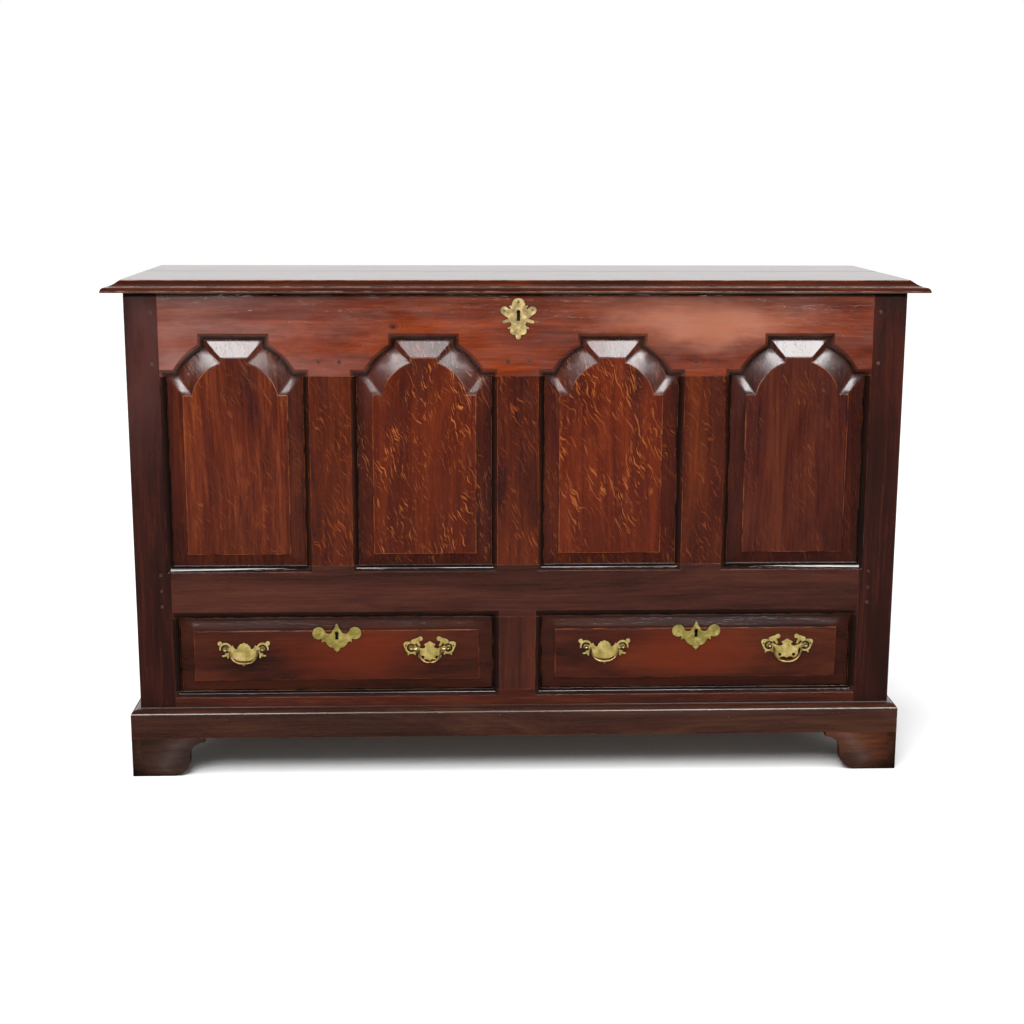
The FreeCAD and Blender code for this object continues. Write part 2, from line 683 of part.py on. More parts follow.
def drawer_runners():
    """Runners under the drawer sides, guides beside them and kickers above them."""
    y0, y1 = FRONT + RAIL_THICKNESS, BACK - REAR_RAIL_THICKNESS
    post_y0, post_y1 = FRONT + POST_DEPTH, BACK - POST_DEPTH
    kick_low = DRAWER_SIDE_HIGH + KICKER_CLEARANCE
    inner = DRAWER_X - DRAWER_HALF
    outer = DRAWER_X + DRAWER_HALF
    pieces = []
    for hand in (-1, 1):
        a, b = sorted((hand * (outer - RUNNER_WIDTH), hand * outer))
        pieces.append(box(a, b, y0, y1, BOTTOM_RAIL_TOP - RUNNER_THICKNESS, BOTTOM_RAIL_TOP))
        pieces.append(box(a, b, y0, y1, kick_low, FLOOR_BOTTOM))
        a, b = sorted((hand * (outer + GUIDE_CLEARANCE), hand * (HALF_WIDTH - RAIL_THICKNESS)))
        pieces.append(box(a, b, post_y0, post_y1, BOTTOM_RAIL_TOP, BOTTOM_RAIL_TOP + GUIDE_HEIGHT))
    middle = inner + RUNNER_WIDTH
    guide = inner - GUIDE_CLEARANCE
    pieces.append(box(-middle, middle, y0, y1, BOTTOM_RAIL_TOP - RUNNER_THICKNESS, BOTTOM_RAIL_TOP))
    pieces.append(box(-guide, guide, y0, y1, BOTTOM_RAIL_TOP, BOTTOM_RAIL_TOP + GUIDE_HEIGHT))
    pieces.append(box(-middle, middle, y0, y1, kick_low, FLOOR_BOTTOM))
    return pieces


def carcass():
    """The framing, panels, floor and drawer guides, by node name."""
    front, rear = front_face(), rear_face()
    left, right = end_face(LEFT_FACE), end_face(RIGHT_FACE)
    faces = (front, rear, left, right)
    cutters = [shape for face in faces for shape in face.cutters() + face.rail_mortises() + face.peg_holes()]

    def post(hand, is_rear):
        return cut_all(corner_post(hand, is_rear), cutters)

    housing = [floor_blank(FLOOR_CLEARANCE)]
    lock_key_way = chest_keyhole(FRONT - OVERRUN, FRONT + RAIL_THICKNESS + OVERRUN)
    top, middle, bottom = front.rail_solids()
    top = cut_all(top, [lock_key_way] + escutcheon_pin_holes(chest_escutcheon_pins()))
    middle = cut_all(middle, housing + [drawer_bolt_mortise(hand) for hand in (-1, 1)])
    rear_rails = [cut_all(rail, housing + hinge_notches()) for rail in rear.rail_solids()]
    rear_muntins = [cut_all(muntin, housing) for muntin in rear.muntin_solids()]
    muntins = front.muntin_solids()
    nodes = {
        "front_stile_left": [post(-1, False)],
        "front_stile_right": [post(1, False)],
        "front_top_rail": [top],
        "front_mid_rail": [middle],
        "front_bottom_rail": [bottom],
        "front_muntins": muntins[:-1],
        "drawer_divider": muntins[-1:],
        "rear_frame": [post(-1, True), post(1, True)] + rear_rails + rear_muntins,
        "rear_panels": rear.panels(),
        "chest_floor": chest_floor(),
        "drawer_runners": drawer_runners(),
        "frame_pegs": front.pegs() + left.pegs() + right.pegs(),
    }
    for index, panel in enumerate(front.panels()):
        nodes[f"front_panel_{index + 1}"] = [panel]
    for name, face in (("left", left), ("right", right)):
        rails = [cut_all(rail, housing) for rail in face.rail_solids()]
        nodes[f"end_frame_{name}"] = rails + face.muntin_solids()
        nodes[f"end_panels_{name}"] = face.panels()
    return nodes


# ---------------------------------------------------------------- plinth and feet
def plinth_ring():
    """The moulded plinth round the front and both ends, in one."""
    run = PLINTH_THICKNESS - PLINTH_MOULD_LEDGE
    mould = quarter_round(PLINTH_TOP - PLINTH_MOULD_RISE, PLINTH_MOULD_RISE, 0.0, run)
    sections = [(PLINTH_BOTTOM, PLINTH_THICKNESS)] + [(z, PLINTH_THICKNESS - inset) for z, inset in mould]
    wires = []
    for z, out in sections:
        x, y = HALF_WIDTH + out, FRONT - out
        corners = [Vector(-x, y, z), Vector(x, y, z), Vector(x, BACK, z), Vector(-x, BACK, z)]
        wires.append(Part.makePolygon(corners + corners[:1]))
    core = box(-HALF_WIDTH, HALF_WIDTH, FRONT, BACK + OVERRUN, PLINTH_BOTTOM - OVERRUN, PLINTH_TOP + OVERRUN)
    return ruled_solid(wires).cut(core)


def front_mitre(z0, z1):
    """The space in front of the mitres at the carcass's front corners."""
    out = 2.0 * PLINTH_THICKNESS
    points = [
        Vector(-HALF_WIDTH, FRONT, z0),
        Vector(HALF_WIDTH, FRONT, z0),
        Vector(HALF_WIDTH + out, FRONT - out, z0),
        Vector(-HALF_WIDTH - out, FRONT - out, z0),
    ]
    return polygon_prism(points, Vector(0, 0, z1 - z0))


def plinth():
    """Three plinth boards, mitred at the front corners."""
    ring = plinth_ring()
    mitre = front_mitre(PLINTH_BOTTOM, PLINTH_TOP)
    reach = HALF_WIDTH + 2.0 * PLINTH_THICKNESS
    left = box(-reach, -HALF_WIDTH, FRONT - reach, BACK, PLINTH_BOTTOM, PLINTH_TOP)
    side = ring.common(left).cut(mitre)
    return {
        "plinth_front": [ring.common(mitre)],
        "plinth_left": [side],
        "plinth_right": [mirrored(side)],
    }


def bracket_outline(along, up):
    """A bracket foot's outline: sole, round knee, cove and a short step."""
    def at(distance, height):
        return along * distance + up * height

    halfway = math.radians(45.0)
    cove_end_run = FOOT_LENGTH - FOOT_STEP
    knee_run, cove_run = FOOT_KNEE - FOOT_SOLE, cove_end_run - FOOT_KNEE
    cove_high = FOOT_KNEE_RISE + (FOOT_COVE_RISE - FOOT_KNEE_RISE) * math.sin(halfway)
    knee = at(FOOT_SOLE + knee_run * math.sin(halfway), FOOT_KNEE_RISE * (1.0 - math.cos(halfway)))
    cove = at(FOOT_KNEE + cove_run * (1.0 - math.cos(halfway)), cove_high)
    knee_end, cove_end = at(FOOT_KNEE, FOOT_KNEE_RISE), at(cove_end_run, FOOT_COVE_RISE)
    edges = [
        Part.LineSegment(at(0, 0), at(FOOT_SOLE, 0)).toShape(),
        Part.Arc(at(FOOT_SOLE, 0), knee, knee_end).toShape(),
        Part.Arc(knee_end, cove, cove_end).toShape(),
        Part.LineSegment(cove_end, at(FOOT_LENGTH, FOOT_COVE_RISE)).toShape(),
        Part.LineSegment(at(FOOT_LENGTH, FOOT_COVE_RISE), at(FOOT_LENGTH, PLINTH_BOTTOM)).toShape(),
        Part.LineSegment(at(FOOT_LENGTH, PLINTH_BOTTOM), at(0, PLINTH_BOTTOM)).toShape(),
        Part.LineSegment(at(0, PLINTH_BOTTOM), at(0, 0)).toShape(),
    ]
    return Part.Face(Part.Wire(edges))


def bracket(corner, along, inward):
    """One bracket board, drawn from its outer corner."""
    face = bracket_outline(along, Vector(0, 0, 1))
    face.translate(corner)
    return face.extrude(inward * PLINTH_THICKNESS)


def front_foot():
    """Left front foot: two mitred brackets and the block between them and the post."""
    corner = Vector(-HALF_WIDTH - PLINTH_THICKNESS, FRONT - PLINTH_THICKNESS, 0)
    mitre = front_mitre(0, PLINTH_BOTTOM)
    front = bracket(corner, Vector(1, 0, 0), Vector(0, 1, 0)).common(mitre)
    side = bracket(corner, Vector(0, 1, 0), Vector(1, 0, 0)).cut(mitre)
    block = box(-HALF_WIDTH, -HALF_WIDTH + FOOT_BLOCK, FRONT, FRONT + FOOT_BLOCK, 0, PLINTH_BOTTOM)
    return [front, side, block]


def rear_foot():
    """Left rear foot: a side bracket, a plain board across the back and a block."""
    corner = Vector(-HALF_WIDTH - PLINTH_THICKNESS, BACK, 0)
    side = bracket(corner, Vector(0, -1, 0), Vector(1, 0, 0))
    inner_y = BACK - PLINTH_THICKNESS
    end_x = -HALF_WIDTH + REAR_BRACKET_LENGTH
    slant = PLINTH_BOTTOM / 2.0
    points = [
        Vector(-HALF_WIDTH, inner_y, 0),
        Vector(end_x - slant, inner_y, 0),
        Vector(end_x, inner_y, PLINTH_BOTTOM),
        Vector(-HALF_WIDTH, inner_y, PLINTH_BOTTOM),
    ]
    back = polygon_prism(points, Vector(0, PLINTH_THICKNESS, 0))
    block = box(-HALF_WIDTH, -HALF_WIDTH + FOOT_BLOCK, inner_y - FOOT_BLOCK, inner_y, 0, PLINTH_BOTTOM)
    return [side, back, block]


def feet():
    """Four bracket feet."""
    front, rear = front_foot(), rear_foot()
    return {
        "foot_front_left": front,
        "foot_front_right": [mirrored(piece) for piece in front],
        "foot_rear_left": rear,
        "foot_rear_right": [mirrored(piece) for piece in rear],
    }


# ---------------------------------------------------------------- lid and hinges
def lid_sections():
    """(height, inset) pairs up the lid's edge: a nose, an ovolo, a shelf, a shallow hollow and a fillet."""
    step_z = LID_THICKNESS - 2.0 * LID_FILLET - LID_UPPER_RISE
    lower_z = LID_NOSE + SHELF_FALL
    upper_inset = LID_QUIRK + LID_LOWER_RUN + LID_SHELF
    top_inset = upper_inset + LID_UPPER_RUN + LID_FILLET
    sections = [(0.0, LID_ARRIS), (LID_ARRIS, 0.0), (LID_NOSE, 0.0)]
    sections += quarter_round(lower_z, step_z - lower_z, LID_QUIRK, LID_LOWER_RUN)
    sections.append((step_z + SHELF_FALL, upper_inset))
    sections += shallow_hollow(step_z + LID_FILLET, LID_UPPER_RISE, upper_inset, LID_UPPER_RUN, LID_UPPER_SAG)
    sections.append((LID_THICKNESS - LID_FILLET + SHELF_FALL, top_inset))
    sections.append((LID_THICKNESS, top_inset))
    return sections


def lid_boards():
    """The moulded lid, in two boards glued edge to edge."""
    half = HALF_WIDTH + LID_OVERHANG
    y0, y1 = FRONT - LID_OVERHANG, BACK + LID_REAR_OVERHANG
    wires = []
    for rise, inset in lid_sections():
        x, y, z = half - inset, y0 + inset, CARCASS_TOP + rise
        corners = [Vector(-x, y, z), Vector(x, y, z), Vector(x, y1, z), Vector(-x, y1, z)]
        wires.append(Part.makePolygon(corners + corners[:1]))
    slab = ruled_solid(wires)
    joint = y0 + LID_FRONT_BOARD
    front = slab.common(box(-half, half, y0, joint, CARCASS_TOP, CARCASS_TOP + LID_THICKNESS))
    rear = slab.common(box(-half, half, joint, y1, CARCASS_TOP, CARCASS_TOP + LID_THICKNESS))
    return front, rear


def lid_battens():
    """Two battens across the lid's underside, clear of the rails when it shuts."""
    y0 = FRONT + RAIL_THICKNESS + LID_BATTEN_CLEARANCE
    y1 = BACK - REAR_RAIL_THICKNESS - LID_BATTEN_CLEARANCE
    low = CARCASS_TOP - LID_BATTEN_THICKNESS
    slope = LID_BATTEN_THICKNESS
    battens = []
    for hand in (-1, 1):
        x0 = hand * LID_BATTEN_X - LID_BATTEN_WIDTH / 2.0
        points = [
            Vector(x0, y0, CARCASS_TOP),
            Vector(x0, y1, CARCASS_TOP),
            Vector(x0, y1 - slope, low),
            Vector(x0, y0 + slope, low),
        ]
        battens.append(polygon_prism(points, Vector(LID_BATTEN_WIDTH, 0, 0)))
    return battens


def knuckle(x0, x1):
    """A hinge knuckle between two places along the hinge line, bored for the pin."""
    start, end = Vector(x0, HINGE_Y, HINGE_Z), Vector(x1, HINGE_Y, HINGE_Z)
    return rod(HINGE_BARREL_RADIUS, start, end)


def pin_bore():
    """The bore through every knuckle of a hinge at the origin of x."""
    half = HINGE_LEAF_WIDTH / 2.0 + OVERRUN
    radius = HINGE_PIN_RADIUS + HINGE_PIN_CLEARANCE
    return rod(radius, Vector(-half, HINGE_Y, HINGE_Z), Vector(half, HINGE_Y, HINGE_Z))


def hinge_strap():
    """The long strap under the lid, with the middle knuckle."""
    half = HINGE_STRAP_WIDTH / 2.0
    low = CARCASS_TOP - HINGE_PLATE
    end_y = HINGE_Y - HINGE_STRAP_LENGTH
    strap = box(-half, half, end_y, HINGE_Y, low, CARCASS_TOP)
    tip = rod(half, Vector(0, end_y, low), Vector(0, end_y, CARCASS_TOP))
    return joined([strap, tip, knuckle(-half, half)]).cut(pin_bore())


def hinge_leaf():
    """The short leaf on the carcass's back, with the outer knuckles."""
    half = HINGE_LEAF_WIDTH / 2.0
    gap = HINGE_STRAP_WIDTH / 2.0 + HINGE_CLEARANCE
    plate = box(-half, half, BACK, BACK + HINGE_PLATE, HINGE_Z - HINGE_LEAF_DROP, HINGE_Z)
    window_low = HINGE_Z - HINGE_BARREL_RADIUS - HINGE_CLEARANCE
    window = box(-gap, gap, BACK - OVERRUN, BACK + HINGE_PLATE + OVERRUN, window_low, HINGE_Z + OVERRUN)
    leaf = joined([plate, knuckle(-half, -gap), knuckle(gap, half)])
    return leaf.cut([window, pin_bore()])


def hinge_pin():
    """The pin through the knuckles, with a small head at each end."""
    half = HINGE_LEAF_WIDTH / 2.0
    axis = [Vector(x, HINGE_Y, HINGE_Z) for x in (-half - HINGE_PIN_HEAD, -half, half, half + HINGE_PIN_HEAD)]
    head = HINGE_PIN_RADIUS + HINGE_PIN_HEAD_RIM
    shank = rod(HINGE_PIN_RADIUS, axis[0], axis[3])
    return joined([shank, rod(head, axis[0], axis[1]), rod(head, axis[2], axis[3])])


def hinge_notches():
    """Shallow notches in the rear rail's top edge that the straps lie in."""
    half = HINGE_STRAP_WIDTH / 2.0 + HINGE_CLEARANCE
    low = CARCASS_TOP - HINGE_PLATE - HINGE_CLEARANCE
    y0, y1 = BACK - REAR_RAIL_THICKNESS - OVERRUN, BACK + OVERRUN
    notch = box(-half, half, y0, y1, low, CARCASS_TOP + OVERRUN)
    return [moved(notch, hand * HINGE_X) for hand in (-1, 1)]


def hinges():
    """Straps, leaves and pins of the two hinges."""
    def pair(shape):
        return [moved(shape, hand * HINGE_X) for hand in (-1, 1)]

    return {
        "hinge_lid_straps": pair(hinge_strap()),
        "hinge_carcass_leaves": pair(hinge_leaf()),
        "hinge_pins": pair(hinge_pin()),
    }


# ---------------------------------------------------------------- locks
def keyhole(z, length, y0, y1, growth=0.0):
    """A keyhole's way through: a round eye over a narrower slot, centred at z."""
    eye_z = z + length / 2.0 - KEYHOLE_EYE_RADIUS
    half = KEYHOLE_SLOT_WIDTH / 2.0 + growth
    eye = rod(KEYHOLE_EYE_RADIUS + growth, Vector(0, y0, eye_z), Vector(0, y1, eye_z))
    slot = box(-half, half, y0, y1, z - length / 2.0 - growth, eye_z)
    return joined([eye, slot])


def chest_keyhole(y0, y1, growth=0.0):
    return keyhole(CHEST_KEYHOLE_Z, CHEST_KEYHOLE_LENGTH, y0, y1, growth)


def drawer_keyhole(y0, y1, growth=0.0):
    return keyhole(DRAWER_KEYHOLE_Z, DRAWER_KEYHOLE_LENGTH, y0, y1, growth)


def chest_lock():
    """The lock case behind the top rail, open to the staple above and holding the bolt."""
    half = LOCK_CASE_WIDTH / 2.0
    y0 = FRONT + RAIL_THICKNESS
    y1 = y0 + LOCK_CASE_DEPTH
    case = box(-half, half, y0, y1, LOCK_CASE_TOP - LOCK_CASE_HEIGHT, LOCK_CASE_TOP)
    slot_x = STAPLE_THICKNESS / 2.0 + STAPLE_SLOT_CLEARANCE
    slot_y = STAPLE_WIDTH / 2.0 + STAPLE_SWING_CLEARANCE
    slot_low = CARCASS_TOP - STAPLE_DROP - STAPLE_PLATE_THICKNESS - STAPLE_SLOT_CLEARANCE
    slot = box(-slot_x, slot_x, LOCK_Y - slot_y, LOCK_Y + slot_y, slot_low, LOCK_CASE_TOP + OVERRUN)
    way_y = LOCK_BOLT_WIDTH / 2.0 + LOCK_CLEARANCE
    way_z = LOCK_BOLT_HEIGHT / 2.0 + LOCK_CLEARANCE
    tip = bolt_tip()
    way_x0 = tip - LOCK_BOLT_LENGTH - LOCK_CLEARANCE
    way_x1 = tip + LOCK_BOLT_THROW + LOCK_CLEARANCE
    way = box(way_x0, way_x1, LOCK_Y - way_y, LOCK_Y + way_y, LOCK_BOLT_Z - way_z, LOCK_BOLT_Z + way_z)
    hole = chest_keyhole(y0 - OVERRUN, y1 - LOCK_CASE_WALL, LOCK_KEY_CLEARANCE)
    pin_start = Vector(0, y0 + LOCK_CASE_WALL, CHEST_KEYHOLE_Z)
    pin = rod(KEY_PIN_RADIUS, pin_start, Vector(0, y1 - LOCK_CASE_WALL, CHEST_KEYHOLE_Z))
    return [joined([case.cut([slot, way, hole]), pin])]


def bolt_tip():
    """Where the chest lock's bolt ends when it is drawn back."""
    return -STAPLE_THICKNESS / 2.0 - STAPLE_SLOT_CLEARANCE


def chest_lock_bolt():
    """The bar that slides through the staple's eye."""
    y, z = LOCK_BOLT_WIDTH / 2.0, LOCK_BOLT_HEIGHT / 2.0
    tip = bolt_tip()
    return [box(tip - LOCK_BOLT_LENGTH, tip, LOCK_Y - y, LOCK_Y + y, LOCK_BOLT_Z - z, LOCK_BOLT_Z + z)]


def chest_lock_staple():
    """The staple under the lid: a plate and a tongue with an eye for the bolt."""
    half = STAPLE_PLATE_LENGTH / 2.0
    plate_low = CARCASS_TOP - STAPLE_PLATE_THICKNESS
    depth = STAPLE_PLATE_WIDTH / 2.0
    plate = box(-half, half, LOCK_Y - depth, LOCK_Y + depth, plate_low, CARCASS_TOP)
    x, y = STAPLE_THICKNESS / 2.0, STAPLE_WIDTH / 2.0
    tongue = box(-x, x, LOCK_Y - y, LOCK_Y + y, plate_low - STAPLE_DROP, plate_low)
    eye_y = LOCK_BOLT_WIDTH / 2.0 + LOCK_CLEARANCE
    eye_z = LOCK_BOLT_HEIGHT / 2.0 + LOCK_CLEARANCE
    eye_x = x + OVERRUN
    eye = box(-eye_x, eye_x, LOCK_Y - eye_y, LOCK_Y + eye_y, LOCK_BOLT_Z - eye_z, LOCK_BOLT_Z + eye_z)
    return [joined([plate, tongue]).cut(eye)]


def drawer_lock_blank():
    """The drawer lock's case, let into the back of the drawer front."""
    half = DRAWER_LOCK_WIDTH / 2.0
    y0, y1 = FRONT + DRAWER_LOCK_FRONT, FRONT + DRAWER_FRONT_BACK + DRAWER_LOCK_PROUD
    return box(-half, half, y0, y1, DRAWER_FRONT_HIGH - DRAWER_LOCK_HEIGHT, DRAWER_FRONT_HIGH)


def drawer_bolt_blank(clearance=0.0, above=0.0):
    """The drawer lock's bolt, or the way it slides in, which may run on above the drawer."""
    half = DRAWER_BOLT_WIDTH / 2.0 + clearance
    middle = FRONT + (DRAWER_LOCK_FRONT + DRAWER_FRONT_BACK + DRAWER_LOCK_PROUD) / 2.0
    depth = DRAWER_BOLT_THICKNESS / 2.0 + clearance
    low = DRAWER_FRONT_HIGH - DRAWER_BOLT_HEIGHT - clearance
    return box(-half, half, middle - depth, middle + depth, low, DRAWER_FRONT_HIGH + above)


def drawer_bolt_mortise(hand):
    """The slot above a drawer that its bolt shoots into."""
    way = drawer_bolt_blank(2.0 * LOCK_CLEARANCE, DRAWER_BOLT_THROW + DRAWER_GAP + OVERRUN)
    return moved(way, hand * DRAWER_X)


# ---------------------------------------------------------------- brass plates
def disc(x, z, radius):
    """A flat round of plate metal, in the plate's own x and z."""
    return rod(radius, Vector(x, 0, z), Vector(x, PLATE_THICKNESS, z))


def limb(x0, z0, r0, x1, z1, r1):
    """A tapering limb of plate metal from one round to another."""
    run = Vector(x1 - x0, 0, z1 - z0)
    along = Vector(run).normalize()
    side = Vector(-along.z, 0, along.x)
    start, end = Vector(x0, 0, z0), Vector(x1, 0, z1)
    points = [start + side * r0, end + side * r1, end - side * r1, start - side * r0]
    bar = polygon_prism(points, Vector(0, PLATE_THICKNESS, 0))
    return [disc(x0, z0, r0), disc(x1, z1, r1), bar]


def half_plate(steps):
    """A plate symmetrical about x = 0, from its right half's outline.

    Each step is (x, z) for a straight edge or (via_x, via_z, x, z) for an arc.
    """
    def edges_for(hand):
        found = []
        here = Vector(hand * steps[0][0], 0, steps[0][1])
        for step in steps[1:]:
            end = Vector(hand * step[-2], 0, step[-1])
            if len(step) == 4:
                via = Vector(hand * step[0], 0, step[1])
                found.append(Part.Arc(here, via, end).toShape())
            else:
                found.append(Part.LineSegment(here, end).toShape())
            here = end
        return found

    wire = Part.Wire(edges_for(1) + list(reversed(edges_for(-1))))
    return Part.Face(wire).extrude(Vector(0, PLATE_THICKNESS, 0))


def both_hands(make):
    """A pair of features, right and left, from one builder that takes a hand."""
    return [shape for hand in (-1, 1) for shape in make(hand)]


def with_eyes(plate):
    """A plate with an open eye round each post, the post's boss in it and a neck to the body."""
    post = BAIL_SPACING / 2.0
    eyes = [disc(hand * post, 0.0, PLATE_EYE_RADIUS) for hand in (-1, 1)]
    bosses = [disc(hand * post, 0.0, POST_BOSS_RADIUS) for hand in (-1, 1)]
    necks = both_hands(lambda hand: limb(hand * (post - 13.0), -2.0, 3.2, hand * post, 0.0, 4.2))
    return joined([plate.cut(eyes)] + bosses + necks).cut(post_holes(PLATE_THICKNESS))


def solid_backplate():
    """The plain shaped plate with scrolled ends, centred between its posts at post height."""
    post = BAIL_SPACING / 2.0
    body = half_plate([
        (0.0, 14.4), (2.0, 12.6, 4.4, 11.6), (7.4, 10.8, 8.8, 8.2), (11.2, 6.6, 12.0, 3.4),
        (14.0, 1.4, 16.6, 2.2), (18.8, 4.2, 20.6, 8.4), (23.2, 7.8, post - 10.2, 4.0), (post - 9.6, 0.0),
        (post - 8.8, -9.4, 18.6, -17.4), (10.2, -21.4, 0.0, -22.2),
    ])

    def scrolls(hand):
        ring = disc(hand * post, PLATE_DROP / 2.0, 11.4)
        x0, x1 = sorted((hand * (post + 1.0), hand * (post + 13.0)))
        ring = ring.cut(box(x0, x1, -OVERRUN, PLATE_THICKNESS + OVERRUN, -12.0, -2.4))
        knob = disc(hand * (post + 10.0), 10.8, 4.2)
        spur = limb(hand * (post - 4.6), -9.0, 1.9, hand * (post - 4.8), -16.4, 1.7)
        leaf = limb(hand * (post - 3.8), -12.4, 1.9, hand * (post + 4.8), -13.6, 1.6)
        return [ring, knob] + spur + leaf

    body = moved(body, z=-PLATE_DROP)
    return with_eyes(joined([body] + both_hands(scrolls)))


def pierced_backplate():
    """The pierced plate with leaning scrolls, centred between its posts at post height."""
    post = BAIL_SPACING / 2.0
    body = half_plate([
        (0.0, 14.4), (4.6, 11.6, 10.8, 8.4), (10.4, 6.4), (8.2, 4.6, 8.8, 2.2), (13.4, 0.2, post - 16.0, 2.0),
        (post - 12.8, -3.6, post - 14.2, -10.4), (post - 12.8, -14.0, post - 15.4, -18.4),
        (16.4, -22.8, 10.4, -22.0), (5.0, -21.0, 0.0, -24.0),
    ])

    def wings(hand):
        ball = disc(hand * (post - 17.2), 19.4, 4.4)
        arm = limb(hand * (post - 13.6), 17.8, 3.6, hand * (post - 4.0), 13.2, 5.0)
        curl = limb(hand * (post - 11.0), 14.2, 3.0, hand * (post - 15.4), 6.4, 2.2)
        outer = limb(hand * (post + 4.6), 10.4, 3.4, hand * (post + 9.8), 8.6, 4.8)
        lower = limb(hand * (post + 10.2), 8.0, 4.6, hand * (post + 7.2), -3.6, 3.0)
        ring = disc(hand * post, 0.0, 10.6)
        spurs = limb(hand * (post + 4.6), -7.0, 2.2, hand * (post + 5.8), -11.4, 1.5)
        spurs += limb(hand * (post - 6.0), -7.0, 2.2, hand * (post - 7.2), -11.0, 1.5)
        return [ball, ring] + arm + curl + outer + lower + spurs

    def piercings(hand):
        return [disc(hand * 13.2, -17.0, 3.1), disc(hand * (post + 10.2), 5.4, 1.7)]

    plate = joined([body] + both_hands(wings)).cut(both_hands(piercings))
    return with_eyes(moved(plate, z=-PLATE_DROP))


def post_holes(depth):
    """Holes for the two shanks, from the plate's face inwards."""
    radius = POST_SHANK_RADIUS + POST_HOLE_CLEARANCE
    hole = rod(radius, Vector(0, -OVERRUN, 0), Vector(0, depth + OVERRUN, 0))
    return [moved(hole, hand * BAIL_SPACING / 2.0) for hand in (-1, 1)]


def chest_escutcheon_pins():
    """(x, z) of the chest escutcheon's three pins."""
    z = CHEST_KEYHOLE_Z
    return [(0.0, z + 24.0), (-25.6, z + 9.0), (25.6, z + 9.0)]


def drawer_escutcheon_pins(x):
    """(x, z) of a drawer escutcheon's two pins."""
    return [(x + hand * 34.2, DRAWER_KEYHOLE_Z + 4.4) for hand in (-1, 1)]


def escutcheon_pin(x, z, clearance=0.0):
    """A domed brass pin in a plate on the plane y = 0, or its hole when it has clearance."""
    end = PLATE_THICKNESS + ESCUTCHEON_PIN_LENGTH + clearance
    shank = rod(ESCUTCHEON_PIN_RADIUS + clearance, Vector(x, -clearance, z), Vector(x, end, z))
    if clearance:
        return shank
    dome = Part.makeSphere(ESCUTCHEON_PIN_DOME, Vector(x, 0, z))
    reach = ESCUTCHEON_PIN_DOME + OVERRUN
    return joined([shank, dome.cut(box(x - reach, x + reach, 0, reach, z - reach, z + reach))])


def escutcheon_pin_holes(points, depth=0.0):
    """Holes for the pins, in the wood behind a plate that lies on a face at `depth`."""
    plane = FRONT + depth - PLATE_THICKNESS
    return [moved(escutcheon_pin(x, z, PEG_CLEARANCE), y=plane) for x, z in points]


def pinned_plate(plate, way, pins, y):
    """A plate cut for its keyhole and pins, with the pins, at a depth."""
    holes = [way] + [escutcheon_pin(x, z, PEG_CLEARANCE) for x, z in pins]
    pieces = [plate.cut(holes)] + [escutcheon_pin(x, z) for x, z in pins]
    return [moved(piece, y=y) for piece in pieces]


def chest_escutcheon():
    """The shield-shaped plate with a domed head, two ears and a pointed foot, with its pins."""
    z = CHEST_KEYHOLE_Z
    plate = half_plate([
        (0.0, 31.3), (8.8, 27.8, 12.3, 19.0), (12.8, 16.4), (14.6, 13.4), (16.2, 8.0, 19.4, 1.0),
        (19.2, -8.6), (15.2, -13.0), (13.0, -16.8, 15.4, -20.6), (14.8, -25.4), (14.6, -31.6, 8.8, -35.4),
        (4.4, -36.0), (4.8, -39.8, 0.0, -44.2),
    ])

    def ears(hand):
        ear = limb(hand * 10.0, -2.0, 7.6, hand * 25.6, 9.0, 7.5)
        spur = limb(hand * 15.0, -8.6, 3.4, hand * 26.4, -12.0, 2.8)
        upper_bead = limb(hand * 11.6, 14.8, 2.2, hand * 15.2, 16.4, 1.8)
        lower_bead = limb(hand * 13.0, -22.0, 2.4, hand * 17.8, -23.4, 1.9)
        return ear + spur + upper_bead + lower_bead

    plate = moved(joined([plate] + both_hands(ears)), z=z)
    pins = chest_escutcheon_pins()
    way = chest_keyhole(-OVERRUN, PLATE_THICKNESS + OVERRUN)
    return pinned_plate(plate, way, pins, FRONT - PLATE_THICKNESS)


def drawer_escutcheon():
    """The winged plate of a drawer at x = 0: two round lobes, a point above and a point below."""
    z = DRAWER_KEYHOLE_Z
    plate = half_plate([
        (0.0, 22.7), (2.2, 20.6, 3.2, 17.4), (5.2, 13.0, 8.2, 9.4), (11.2, 4.4, 15.4, 3.3),
        (19.4, 4.0, 23.0, 8.0), (28.0, -5.6), (28.8, -13.2), (26.2, -12.4), (23.2, -11.6, 20.6, -13.0),
        (16.4, -19.4, 9.4, -23.6), (5.4, -24.8), (5.8, -27.8), (2.7, -29.8, 0.0, -33.3),
    ])
    lobes = [disc(hand * 34.2, 4.6, 11.8) for hand in (-1, 1)]
    plate = moved(joined([plate] + lobes), z=z)
    pins = drawer_escutcheon_pins(0.0)
    way = drawer_keyhole(-OVERRUN, PLATE_THICKNESS + OVERRUN)
    return pinned_plate(plate, way, pins, DRAWER_PLATE_Y)


